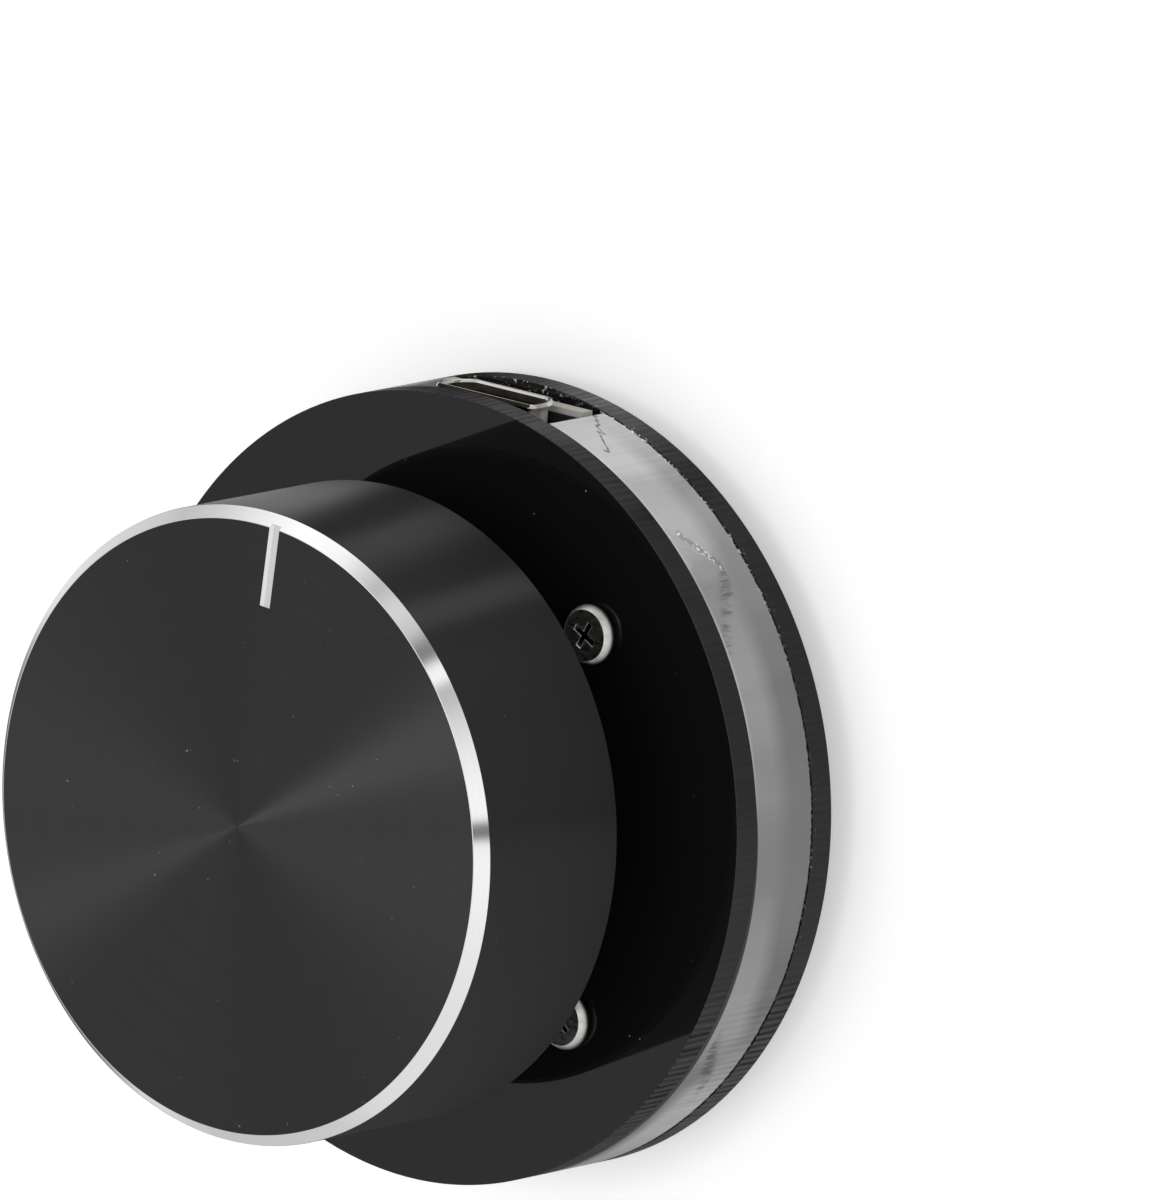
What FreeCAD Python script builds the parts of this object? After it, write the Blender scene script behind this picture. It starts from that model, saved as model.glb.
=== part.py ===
import FreeCAD, Part
import math
import os
from types import SimpleNamespace

import Sketcher

# A desk dial for sound volume: two black acrylic discs with a clear spacer between them hold a
# circuit board, a small socket for the lead and a turn-and-press encoder under a metal knob.
# Millimetres. +Z is the dial's axis, upwards, and +Y points to the socket. The origin is the
# centre of the flat that the feet rest on.

SIZES = {
    "Plates": {
        "rim_wall": 7.5,
        "base_thick": 1.8,
        "spacer_thick": 5.4,
        "top_thick": 1.85,
        "eye_dia": 17.6,
        "board_clear": 0.5,
        "port_gap_wide": 12.2,
    },
    "Feet": {
        "foot_dia": 8.0,
        "foot_thick": 2.4,
        "foot_round": 0.6,
        "foot_rim_gap": 3.0,
    },
    "Plate screws": {
        "screw_wall": 1.8,
        "screw_dia": 2.0,
        "screw_hole_clear": 0.15,
        "screw_reach": 0.3,
        "head_dia": 3.8,
        "head_thick": 0.9,
        "head_rim": 0.35,
        "cross_long": 2.2,
        "cross_wide": 0.5,
        "cross_deep": 0.6,
        "nut_flats": 4.0,
        "nut_thick": 1.6,
    },
    "Circuit board": {
        "board_end_gap": 1.4,
        "board_side_gap": 0.35,
        "board_thick": 1.0,
        "tongue_clear": 0.4,
        "tape_thick": 0.8,
        "tape_wide": 2.4,
        "tape_inset": 0.4,
        "hole_clear": 0.15,
    },
    "Socket": {
        "port_wide": 7.6,
        "port_narrow": 5.8,
        "port_tall": 2.6,
        "port_knee": 1.6,
        "port_wall": 0.3,
        "port_slant_inset": 0.17,
        "port_long": 5.6,
        "port_setback": 0.1,
        "lip_proud": 0.3,
        "lip_long": 0.4,
        "lip_clear": 0.1,
        "port_tab_long": 1.5,
        "port_tab_tall": 2.0,
        "tab_reach": 0.4,
        "insert_clear": 0.03,
        "insert_long": 1.4,
        "tongue_bar_wide": 4.6,
        "tongue_bar_thick": 0.6,
        "tongue_bar_lift": 1.2,
        "tongue_bar_short": 0.45,
        "contact_pitch": 0.65,
        "contact_wide": 0.35,
        "contact_thick": 0.12,
        "contact_tail_long": 0.9,
    },
    "Board components": {
        "chip_long": 6.5,
        "chip_wide": 4.4,
        "chip_thick": 1.0,
        "chip_lift": 0.1,
        "chip_gap": 1.55,
        "leg_pitch": 0.65,
        "leg_wide": 0.25,
        "leg_long": 1.0,
        "leg_thick": 0.15,
        "led_long": 3.5,
        "led_wide": 2.8,
        "led_thick": 1.8,
        "led_gap": 0.55,
        "led_spread": 6.6,
        "led_lens_dia": 2.4,
        "led_lens_deep": 0.9,
        "lens_clear": 0.02,
        "crystal_long": 3.2,
        "crystal_wide": 2.5,
        "crystal_thick": 0.8,
        "passive_long": 1.6,
        "passive_wide": 0.8,
        "capacitor_thick": 0.8,
        "resistor_thick": 0.45,
    },
    "Encoder body": {
        "case_side": 11.6,
        "switch_thick": 2.2,
        "switch_well_dia": 6.4,
        "switch_floor": 0.8,
        "dome_dia": 5.6,
        "dome_thick": 0.12,
        "finger_long": 3.2,
        "finger_wide": 0.7,
        "finger_thick": 0.15,
        "finger_clear": 0.15,
        "housing_thick": 3.8,
        "rotor_well_dia": 9.8,
        "flange_well_dia": 8.0,
        "cover_thick": 0.45,
        "arm_wide": 4.4,
        "arm_clear": 0.05,
        "spring_thick": 0.15,
        "spring_hole_dia": 6.4,
        "spring_edge_clear": 0.1,
        "pin_wide": 0.8,
        "pin_thick": 0.3,
        "pin_lift": 1.2,
        "pin_pitch": 2.5,
        "pin_stand": 1.7,
        "pin_reach": 0.5,
        "bushing_dia": 7.0,
        "bushing_rise": 5.0,
        "bushing_chamfer": 0.3,
        "bushing_hole_clear": 0.05,
        "flange_dia": 7.8,
        "flange_thick": 0.8,
    },
    "Turning pieces": {
        "shaft_dia": 6.0,
        "running_clear": 0.03,
        "shaft_flat_deep": 1.5,
        "shaft_flat_long": 10.0,
        "shaft_chamfer": 0.4,
        "drive_dia": 3.6,
        "tip_dia": 2.6,
        "tip_long": 0.7,
        "tip_gap": 0.1,
        "press_travel": 0.5,
        "clip_thick": 0.4,
        "clip_dia": 7.2,
        "clip_groove_dia": 5.0,
        "clip_mouth": 3.6,
        "clip_gap": 0.1,
        "shoulder_thick": 0.3,
        "rotor_dia": 9.4,
        "rotor_thick": 0.8,
        "rotor_hub_dia": 5.6,
        "shoulder_clear": 0.3,
        "rotor_gap": 0.15,
        "rotor_spring_gap": 0.1,
    },
    "Knob": {
        "knob_dia": 40.1,
        "knob_tall": 13.0,
        "knob_gap": 5.4,
        "knob_chamfer": 0.75,
        "knob_foot_chamfer": 0.3,
        "counterbore_dia": 15.0,
        "counterbore_deep": 3.0,
        "bore_roof": 2.0,
        "bore_end_gap": 0.2,
        "mark_long": 5.8,
        "mark_wide": 0.8,
        "mark_deep": 0.2,
        "knob_angle": 4.5,
        "set_screw_dia": 3.0,
        "set_screw_long": 4.0,
        "set_socket_flats": 1.5,
        "set_socket_deep": 1.5,
    },
    "Cutting": {
        "overrun": 1.0,
    },
}

# Where the small parts sit, as shares of the board's half width and half length.
CRYSTAL_PLACE_SHARES = (0.72, -0.74)
CAPACITOR_PLACE_SHARES = [(-0.68, -0.9), (0.68, -0.93), (-0.78, 0.72), (0.78, 0.72), (0.45, 0.62)]
RESISTOR_PLACE_SHARES = [(-0.7, -0.62), (-0.8, 0.55), (0.8, 0.55), (-0.3, 0.62), (0.05, 0.62)]

PLATE_SCREWS = 4
FEET = 4
SOCKET_CONTACTS = 5
CHIP_LEGS_A_SIDE = 10
FULL_TURN = 360

doc = FreeCAD.newDocument("volume_dial")
finished = []


class Size:
    """A length together with the sheet expression that gives it."""

    def __init__(self, value, text):
        self.value = value
        self.text = text

    def __add__(self, other):
        return Size(self.value + other.value, "(%s + %s)" % (self.text, other.text))

    def __sub__(self, other):
        return Size(self.value - other.value, "(%s - %s)" % (self.text, other.text))

    def __neg__(self):
        return Size(-self.value, "(-1 * %s)" % self.text)

    def __mul__(self, other):
        if isinstance(other, Size):
            return Size(self.value * other.value, "(%s * %s)" % (self.text, other.text))
        return Size(self.value * other, "(%s * %r)" % (self.text, float(other)))

    def __truediv__(self, other):
        if isinstance(other, Size):
            return Size(self.value / other.value, "(%s / %s)" % (self.text, other.text))
        return Size(self.value / other, "(%s / %r)" % (self.text, float(other)))


def fill_sheet():
    """Write every driving dimension into the sheet and return them as named sizes."""
    sheet = doc.addObject("Spreadsheet::Sheet", "Sizes")
    named = SimpleNamespace()
    row = 1
    for group, sizes in SIZES.items():
        sheet.set("A%d" % row, group)
        row += 1
        for name, value in sizes.items():
            sheet.set("A%d" % row, name)
            sheet.set("B%d" % row, str(value))
            sheet.setAlias("B%d" % row, name)
            setattr(named, name, Size(value, "Sizes." + name))
            row += 1
    doc.recompute()
    return named


size = fill_sheet()
NIL = Size(0.0, "0")

# In plan, from the encoder outwards: its pins and lamps set the board, and the board sets the
# window, the plates and the screws.
case_half = size.case_side / 2
pin_row = case_half + size.pin_stand
led_place = case_half + size.arm_clear + size.cover_thick + size.led_gap + size.led_wide / 2
chip_row = pin_row + size.pin_thick / 2 + size.chip_gap + size.leg_long + size.chip_wide / 2
board_half_wide = led_place + size.led_wide / 2 + size.board_side_gap
board_half_long = chip_row + size.chip_wide / 2 + size.leg_long + size.board_end_gap
window_half_wide = board_half_wide + size.board_clear
window_half_long = board_half_long + size.board_clear
plate_radius = window_half_long + size.rim_wall
screw_half_spacing = window_half_wide + size.screw_wall
screw_ring = screw_half_spacing * math.sqrt(2)
screw_angle = Size(FULL_TURN, str(FULL_TURN)) / PLATE_SCREWS / 2
foot_ring = plate_radius - size.foot_rim_gap - size.foot_dia / 2

# The stack of the discs, from the feet up, and the encoder's levels above the board.
base_floor = size.foot_thick
spacer_floor = base_floor + size.base_thick
board_floor = spacer_floor + size.tape_thick
board_top = board_floor + size.board_thick
top_floor = spacer_floor + size.spacer_thick
top_face = top_floor + size.top_thick
switch_top = board_top + size.switch_thick
housing_top = switch_top + size.housing_thick
cover_top = housing_top + size.cover_thick
knob_floor = top_face + size.knob_gap
shaft_radius = size.shaft_dia / 2
bore_top = size.knob_tall - size.bore_roof
set_screw_height = (size.counterbore_deep + bore_top) / 2


def keep(label, shape):
    """Name a finished sub-part."""
    shape.Label = label
    finished.append(shape)


def seat(shape, across=NIL, along=NIL, up=NIL, turn=None):
    """Put a sub-part in its place, turned about the dial's axis if a turn is given."""
    for axis, place in zip("xyz", (across, along, up)):
        shape.setExpression("Placement.Base." + axis, place.text)
    if turn is not None:
        shape.Placement.Rotation = FreeCAD.Rotation(FreeCAD.Vector(0, 0, 1), turn.value)
        shape.setExpression("Placement.Rotation.Angle", turn.text)


def new_body(label):
    body = doc.addObject("PartDesign::Body", label)
    body.AllowCompound = True
    keep(label, body)
    return body


def new_sketch(body, role, lift=NIL, shift=NIL):
    """A sketch on one of the body's own planes, lifted off it and shifted along its first axis."""
    sketch = body.newObject("Sketcher::SketchObject", "outline")
    plane = [feature for feature in body.Origin.OriginFeatures if feature.Role == role][0]
    sketch.AttachmentSupport = [(plane, "")]
    sketch.MapMode = "FlatFace"
    sketch.setExpression("AttachmentOffset.Base.x", shift.text)
    sketch.setExpression("AttachmentOffset.Base.z", lift.text)
    return sketch


def fix_point(sketch, shape, point, across, along):
    """Hold one point of a shape at its two distances from the sketch's origin."""
    for kind, distance in (("DistanceX", across), ("DistanceY", along)):
        index = sketch.addConstraint(Sketcher.Constraint(kind, -1, 1, shape, point, distance.value))
        sketch.setExpression("Constraints[%d]" % index, distance.text)


def arc_between(start, end, radius, turn):
    """The short arc from start to end; turn is 1 where it bulges outwards and -1 inwards."""
    chord = end - start
    aside = FreeCAD.Vector(-chord.y, chord.x, 0).normalize() * turn
    reach = math.sqrt(radius ** 2 - (chord.Length / 2) ** 2)
    centre = start + chord / 2 + aside * reach
    middle = centre - aside * radius
    if turn < 0:
        return Part.Arc(end, middle, start)
    return Part.Arc(start, middle, end)


def draw_outline(sketch, points):
    """Draw a closed outline, anticlockwise. A point is (across, along), or
    (across, along, radius, turn) where the side after it is an arc."""
    first = sketch.GeometryCount
    corners = [FreeCAD.Vector(point[0].value, point[1].value, 0) for point in points]
    for index, point in enumerate(points):
        following = corners[(index + 1) % len(points)]
        if len(point) == 2:
            sketch.addGeometry(Part.LineSegment(corners[index], following), False)
        else:
            arc = arc_between(corners[index], following, point[2].value, point[3])
            sketch.addGeometry(arc, False)
    ends = []
    for index, corner in enumerate(corners):
        side = sketch.Geometry[first + index]
        forward = side.StartPoint.distanceToPoint(corner) <= side.EndPoint.distanceToPoint(corner)
        ends.append((1, 2) if forward else (2, 1))
    for index, point in enumerate(points):
        side = first + index
        following = (index + 1) % len(points)
        joint = (side, ends[index][1], first + following, ends[following][0])
        sketch.addConstraint(Sketcher.Constraint("Coincident", *joint))
        fix_point(sketch, side, ends[index][0], point[0], point[1])
        if len(point) > 2:
            held = sketch.addConstraint(Sketcher.Constraint("Radius", side, point[2].value))
            sketch.setExpression("Constraints[%d]" % held, point[2].text)


def dome_radius(half_chord, rise):
    """The radius of a dome that spans twice half_chord and rises by rise."""
    return (half_chord * half_chord + rise * rise) / (rise * 2)


def draw_rectangle(sketch, left, right, low, high):
    draw_outline(sketch, [(left, low), (right, low), (right, high), (left, high)])


def draw_tongued_rectangle(sketch, half_wide, half_long, half_tongue, tongue_end):
    """A rectangle with a tongue on the side of the socket, as the board and its window have."""
    draw_outline(sketch, [
        (-half_wide, -half_long), (half_wide, -half_long), (half_wide, half_long),
        (half_tongue, half_long), (half_tongue, tongue_end), (-half_tongue, tongue_end),
        (-half_tongue, half_long), (-half_wide, half_long),
    ])


def draw_circle(sketch, radius, across=NIL, along=NIL):
    centre = FreeCAD.Vector(across.value, along.value, 0)
    shape = sketch.addGeometry(Part.Circle(centre, FreeCAD.Vector(0, 0, 1), radius.value), False)
    fix_point(sketch, shape, 3, across, along)
    held = sketch.addConstraint(Sketcher.Constraint("Radius", shape, radius.value))
    sketch.setExpression("Constraints[%d]" % held, radius.text)


def draw_hexagon(sketch, flats, along=NIL):
    """A hexagon with two of its corners level with its middle."""
    corner = flats / math.sqrt(3)
    half_side = corner / 2
    low = along - flats / 2
    high = along + flats / 2
    draw_outline(sketch, [
        (corner, along), (half_side, high), (-half_side, high),
        (-corner, along), (-half_side, low), (half_side, low),
    ])


def add_feature(body, kind, sketch, length):
    feature = body.newObject("PartDesign::" + kind, kind.lower())
    feature.Profile = sketch
    feature.setExpression("Length", length.text)
    return feature


def pad(body, sketch, length):
    return add_feature(body, "Pad", sketch, length)


def pocket(body, sketch, length):
    return add_feature(body, "Pocket", sketch, length)


def spin(body, sketch, kind="Revolution"):
    """Turn a profile about its sketch's upright axis, as added or removed material."""
    feature = body.newObject("PartDesign::" + kind, kind.lower())
    feature.Profile = sketch
    feature.ReferenceAxis = (sketch, ["V_Axis"])
    feature.Angle = FULL_TURN
    return feature


def repeat_round(body, features, count):
    """Repeat features evenly round the dial's axis."""
    doc.recompute()
    pattern = body.newObject("PartDesign::PolarPattern", "pattern")
    axis = [feature for feature in body.Origin.OriginFeatures if feature.Role == "Z_Axis"][0]
    pattern.Originals = features
    pattern.Axis = (axis, [""])
    pattern.Angle = FULL_TURN
    pattern.Occurrences = count
    body.Tip = pattern


def block(corner, extent):
    """A plain block with its low corner at the given place."""
    shape = doc.addObject("Part::Box", "block")
    for length_name, length in zip(("Length", "Width", "Height"), extent):
        shape.setExpression(length_name, length.text)
    for axis, place in zip("xyz", corner):
        shape.setExpression("Placement.Base." + axis, place.text)
    return shape


def centred_block(middle, floor, extent):
    """A plain block centred on a place in plan and standing on a floor."""
    corner = (middle[0] - extent[0] / 2, middle[1] - extent[1] / 2, floor)
    return block(corner, extent)


def rod(middle, floor, radius, height):
    """A plain upright cylinder."""
    shape = doc.addObject("Part::Cylinder", "rod")
    shape.setExpression("Radius", radius.text)
    shape.setExpression("Height", height.text)
    for axis, place in zip("xyz", (middle[0], middle[1], floor)):
        shape.setExpression("Placement.Base." + axis, place.text)
    return shape


def join(first, second):
    shape = doc.addObject("Part::Fuse", "joined")
    shape.Base = first
    shape.Tool = second
    return shape


def cut(first, second):
    shape = doc.addObject("Part::Cut", "cut")
    shape.Base = first
    shape.Tool = second
    return shape


def gather(label, shapes):
    """Keep several like solids as one sub-part."""
    group = doc.addObject("Part::Compound", label)
    group.Links = shapes
    keep(label, group)


def draw_screw_holes(sketch):
    hole = size.screw_dia / 2 + size.screw_hole_clear
    for across in (-screw_half_spacing, screw_half_spacing):
        for along in (-screw_half_spacing, screw_half_spacing):
            draw_circle(sketch, hole, across, along)


def make_base_plate():
    body = new_body("base_plate")
    sketch = new_sketch(body, "XY_Plane")
    draw_circle(sketch, plate_radius)
    draw_screw_holes(sketch)
    pad(body, sketch, size.base_thick)
    seat(body, up=base_floor)


def make_spacer_ring():
    body = new_body("spacer_ring")
    sketch = new_sketch(body, "XY_Plane")
    draw_circle(sketch, plate_radius)
    draw_screw_holes(sketch)
    pad(body, sketch, size.spacer_thick)
    past_rim = plate_radius + size.overrun
    window = new_sketch(body, "XY_Plane", lift=size.spacer_thick)
    draw_tongued_rectangle(window, window_half_wide, window_half_long, size.port_gap_wide / 2, past_rim)
    pocket(body, window, size.spacer_thick + size.overrun)
    seat(body, up=spacer_floor)


def make_top_plate():
    body = new_body("top_plate")
    sketch = new_sketch(body, "XY_Plane")
    draw_circle(sketch, plate_radius)
    draw_circle(sketch, size.eye_dia / 2)
    draw_screw_holes(sketch)
    pad(body, sketch, size.top_thick)
    seat(body, up=top_floor)


def make_rubber_feet():
    body = new_body("rubber_feet")
    radius = size.foot_dia / 2
    sketch = new_sketch(body, "XZ_Plane", shift=foot_ring)
    draw_outline(sketch, [
        (NIL, NIL), (radius - size.foot_round, NIL, size.foot_round, 1),
        (radius, size.foot_round), (radius, size.foot_thick), (NIL, size.foot_thick),
    ])
    repeat_round(body, [spin(body, sketch)], FEET)
    seat(body)


def make_plate_screws():
    body = new_body("plate_screws")
    stem = size.top_thick + size.spacer_thick + size.base_thick + size.nut_thick + size.screw_reach
    shank = size.screw_dia / 2
    head = size.head_dia / 2
    crown = dome_radius(head, size.head_thick - size.head_rim)
    profile = new_sketch(body, "XZ_Plane", shift=screw_ring)
    draw_outline(profile, [
        (NIL, -stem), (shank, -stem), (shank, NIL), (head, NIL),
        (head, size.head_rim, crown, 1), (NIL, size.head_thick),
    ])
    turned = spin(body, profile)
    arm = size.cross_long / 2
    slim = size.cross_wide / 2
    cross = new_sketch(body, "XY_Plane", lift=size.head_thick, shift=screw_ring)
    draw_outline(cross, [
        (-slim, -arm), (slim, -arm), (slim, -slim), (arm, -slim), (arm, slim), (slim, slim),
        (slim, arm), (-slim, arm), (-slim, slim), (-arm, slim), (-arm, -slim), (-slim, -slim),
    ])
    recess = pocket(body, cross, size.cross_deep)
    repeat_round(body, [turned, recess], PLATE_SCREWS)
    seat(body, up=top_face, turn=screw_angle)


def make_plate_nuts():
    body = new_body("plate_nuts")
    sketch = new_sketch(body, "XY_Plane", shift=screw_ring)
    draw_hexagon(sketch, size.nut_flats)
    draw_circle(sketch, size.screw_dia / 2 + size.insert_clear)
    repeat_round(body, [pad(body, sketch, size.nut_thick)], PLATE_SCREWS)
    seat(body, up=base_floor - size.nut_thick, turn=screw_angle)


def make_tape_strips():
    """Foam tape under the board's two long edges."""
    outer = board_half_wide - size.tape_inset
    length = (board_half_long - size.tape_inset) * 2
    strips = []
    for side in (-1, 1):
        middle = ((outer - size.tape_wide / 2) * side, NIL)
        strips.append(centred_block(middle, spacer_floor, (size.tape_wide, length, size.tape_thick)))
    gather("tape_strips", strips)


def pin_places():
    """Where the encoder's five pins go through the board: three in front, two behind."""
    front = [(size.pin_pitch * step, -pin_row) for step in (-1, 0, 1)]
    back = [(size.pin_pitch * step, pin_row) for step in (-1, 1)]
    return front + back


def socket_tab_middle():
    return plate_radius - size.port_setback - size.port_long / 2


def make_circuit_board():
    body = new_body("circuit_board")
    half_tongue = size.port_gap_wide / 2 - size.tongue_clear
    tongue_end = plate_radius - size.port_setback - size.lip_long - size.lip_clear
    sketch = new_sketch(body, "XY_Plane")
    draw_tongued_rectangle(sketch, board_half_wide, board_half_long, half_tongue, tongue_end)
    pad(body, sketch, size.board_thick)
    holes = new_sketch(body, "XY_Plane", lift=size.board_thick)
    pin_hole = size.pin_wide / 2 + size.hole_clear
    for across, along in pin_places():
        draw_circle(holes, pin_hole, across, along)
    for side in (-1, 1):
        arm_in = case_half + size.arm_clear - size.hole_clear
        arm_out = case_half + size.arm_clear + size.cover_thick + size.hole_clear
        near, far = sorted((arm_in * side, arm_out * side), key=lambda edge: edge.value)
        reach = size.arm_wide / 2 + size.hole_clear
        draw_rectangle(holes, near, far, -reach, reach)
        tab_in = size.port_wide / 2 - size.hole_clear
        tab_out = size.port_wide / 2 + size.port_wall + size.hole_clear
        near, far = sorted((tab_in * side, tab_out * side), key=lambda edge: edge.value)
        reach = size.port_tab_long / 2 + size.hole_clear
        middle = socket_tab_middle()
        draw_rectangle(holes, near, far, middle - reach, middle + reach)
    pocket(body, holes, size.board_thick + size.overrun)
    seat(body, up=board_floor)


def port_outline(inset_wall):
    """The socket's section, narrow at the board and wide above, outside or inside its wall."""
    wall = size.port_wall if inset_wall else NIL
    slant = size.port_slant_inset if inset_wall else NIL
    wide = size.port_wide / 2 - wall
    narrow = size.port_narrow / 2 - slant
    knee = size.port_tall - size.port_knee + slant
    high = size.port_tall - wall
    return [(-narrow, wall), (narrow, wall), (wide, knee), (wide, high), (-wide, high), (-wide, knee)]


def lip_outline():
    """The flared lip round the socket's mouth."""
    proud = size.lip_proud
    wide = size.port_wide / 2 + proud
    narrow = size.port_narrow / 2 + size.port_slant_inset
    high = size.port_tall + proud
    knee = size.port_tall - size.port_knee - size.port_slant_inset
    return [(-narrow, -proud), (narrow, -proud), (wide, knee), (wide, high), (-wide, high),
            (-wide, knee)]


def make_usb_shell():
    body = new_body("usb_shell")
    back = plate_radius - size.port_setback - size.port_long
    tube = new_sketch(body, "XZ_Plane", lift=-(back + size.port_long - size.lip_long))
    draw_outline(tube, port_outline(False))
    pad(body, tube, size.port_long - size.lip_long)
    lip = new_sketch(body, "XZ_Plane", lift=-(back + size.port_long))
    draw_outline(lip, lip_outline())
    pad(body, lip, size.lip_long)
    for side in (-1, 1):
        edge = size.port_wide / 2
        outer = edge + size.port_wall
        near, far = sorted((edge * side, outer * side), key=lambda place: place.value)
        reach = size.port_tab_long / 2
        tab = new_sketch(body, "XY_Plane", lift=-(size.board_thick + size.tab_reach))
        draw_rectangle(tab, near, far, socket_tab_middle() - reach, socket_tab_middle() + reach)
        pad(body, tab, size.board_thick + size.tab_reach + size.port_tab_tall)
    doc.recompute()
    mouth = new_sketch(body, "XZ_Plane", lift=-(back - size.overrun))
    draw_outline(mouth, port_outline(True))
    hollow = pocket(body, mouth, size.port_long + size.overrun * 2)
    hollow.Reversed = False
    seat(body, up=board_top)


def make_usb_insulator():
    """The moulded block that closes the socket's back and the bar that carries its contacts."""
    body = new_body("usb_insulator")
    back = plate_radius - size.port_setback - size.port_long
    clear = size.insert_clear
    wide = size.port_wide / 2 - size.port_wall - clear
    narrow = size.port_narrow / 2 - size.port_slant_inset - clear
    knee = size.port_tall - size.port_knee + size.port_slant_inset + clear
    low = size.port_wall + clear
    high = size.port_tall - size.port_wall - clear
    plug = new_sketch(body, "XZ_Plane", lift=-(back + size.insert_long))
    draw_outline(plug, [(-narrow, low), (narrow, low), (wide, knee), (wide, high), (-wide, high),
                        (-wide, knee)])
    pad(body, plug, size.insert_long)
    half = size.tongue_bar_wide / 2
    bar_end = back + size.port_long - size.tongue_bar_short
    bar = new_sketch(body, "XZ_Plane", lift=-bar_end)
    draw_rectangle(bar, -half, half, size.tongue_bar_lift, size.tongue_bar_lift + size.tongue_bar_thick)
    pad(body, bar, bar_end - back)
    seat(body, up=board_top)


def make_usb_contacts():
    """Five strips under the bar, and their solder tails behind the socket."""
    back = plate_radius - size.port_setback - size.port_long
    strip_start = back + size.insert_long
    strip_long = size.port_long - size.tongue_bar_short - size.insert_long - size.contact_thick
    strip_floor = board_top + size.tongue_bar_lift - size.contact_thick
    pieces = []
    for step in range(SOCKET_CONTACTS):
        left = size.contact_pitch * (step - (SOCKET_CONTACTS - 1) / 2) - size.contact_wide / 2
        pieces.append(block((left, strip_start, strip_floor),
                            (size.contact_wide, strip_long, size.contact_thick)))
        pieces.append(block((left, back - size.contact_tail_long, board_top),
                            (size.contact_wide, size.contact_tail_long, size.contact_thick)))
    gather("usb_contacts", pieces)


def make_controller_chip():
    middle = (NIL, -chip_row)
    case = centred_block(middle, board_top + size.chip_lift,
                         (size.chip_long, size.chip_wide, size.chip_thick))
    keep("controller_chip", case)
    legs = []
    for side in (-1, 1):
        row = middle[1] + (size.chip_wide + size.leg_long) / 2 * side
        for step in range(CHIP_LEGS_A_SIDE):
            across = size.leg_pitch * (step - (CHIP_LEGS_A_SIDE - 1) / 2)
            legs.append(centred_block((across, row), board_top,
                                      (size.leg_wide, size.leg_long, size.leg_thick)))
    gather("chip_legs", legs)


def make_leds():
    """Four lamps round the encoder, each a moulded case with a clear filling."""
    along = size.led_spread / 2
    cases = []
    lenses = []
    well = size.led_lens_dia / 2
    well_floor = board_top + size.led_thick - size.led_lens_deep
    for side in (-1, 1):
        for end in (-1, 1):
            middle = (led_place * side, along * end)
            case = centred_block(middle, board_top, (size.led_wide, size.led_long, size.led_thick))
            cases.append(cut(case, rod(middle, well_floor, well, size.led_lens_deep + size.overrun)))
            lenses.append(rod(middle, well_floor, well - size.lens_clear, size.led_lens_deep))
    gather("led_cases", cases)
    gather("led_lenses", lenses)


def make_small_parts():
    """The clock crystal, and the capacitors and resistors round the chip and the socket."""
    share_across, share_along = CRYSTAL_PLACE_SHARES
    crystal = centred_block((board_half_wide * share_across, board_half_long * share_along), board_top,
                            (size.crystal_wide, size.crystal_long, size.crystal_thick))
    keep("clock_crystal", crystal)
    for label, shares, thick in (
        ("capacitors", CAPACITOR_PLACE_SHARES, size.capacitor_thick),
        ("resistors", RESISTOR_PLACE_SHARES, size.resistor_thick),
    ):
        chips = []
        for across_share, along_share in shares:
            middle = (board_half_wide * across_share, board_half_long * along_share)
            chips.append(centred_block(middle, board_top,
                                       (size.passive_long, size.passive_wide, thick)))
        gather(label, chips)


def make_switch_case():
    """The encoder's lowest layer, with the well of the press switch."""
    body = new_body("switch_case")
    sketch = new_sketch(body, "XY_Plane")
    draw_rectangle(sketch, -case_half, case_half, -case_half, case_half)
    pad(body, sketch, size.switch_thick)
    well = new_sketch(body, "XY_Plane", lift=size.switch_thick)
    draw_circle(well, size.switch_well_dia / 2)
    pocket(body, well, size.switch_thick - size.switch_floor)
    seat(body, up=board_top)


def dome_rise():
    """The dome stands as high as the press goes down, and keeps its own thickness when flat."""
    return size.press_travel + size.dome_thick


def make_switch_dome():
    """The snap dome that the shaft's tip presses."""
    body = new_body("switch_dome")
    radius = size.dome_dia / 2
    bend = dome_radius(radius, size.press_travel)
    sketch = new_sketch(body, "XZ_Plane")
    draw_outline(sketch, [
        (radius, NIL), (radius, size.dome_thick, bend, 1), (NIL, dome_rise()),
        (NIL, size.press_travel, bend, -1),
    ])
    spin(body, sketch)
    seat(body, up=board_top + size.switch_floor)


def make_wiper_fingers():
    """Three flat spring fingers under the rotor, round the switch's well."""
    offset = size.switch_well_dia / 2 + size.finger_clear + size.finger_wide / 2
    upright = (size.finger_wide, size.finger_long, size.finger_thick)
    level = (size.finger_long, size.finger_wide, size.finger_thick)
    gather("wiper_fingers", [
        centred_block((-offset, NIL), switch_top, upright),
        centred_block((offset, NIL), switch_top, upright),
        centred_block((NIL, -offset), switch_top, level),
    ])


def rotor_well_deep():
    """Room for the fingers, the rotor and the detent spring, with their gaps."""
    return rotor_floor() + size.rotor_thick + size.rotor_spring_gap + size.spring_thick - switch_top


def make_encoder_housing():
    body = new_body("encoder_housing")
    sketch = new_sketch(body, "XY_Plane")
    draw_rectangle(sketch, -case_half, case_half, -case_half, case_half)
    draw_circle(sketch, size.flange_well_dia / 2)
    pad(body, sketch, size.housing_thick)
    well = new_sketch(body, "XY_Plane", lift=rotor_well_deep())
    draw_circle(well, size.rotor_well_dia / 2)
    pocket(body, well, rotor_well_deep() + size.overrun)
    seat(body, up=switch_top)


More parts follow.
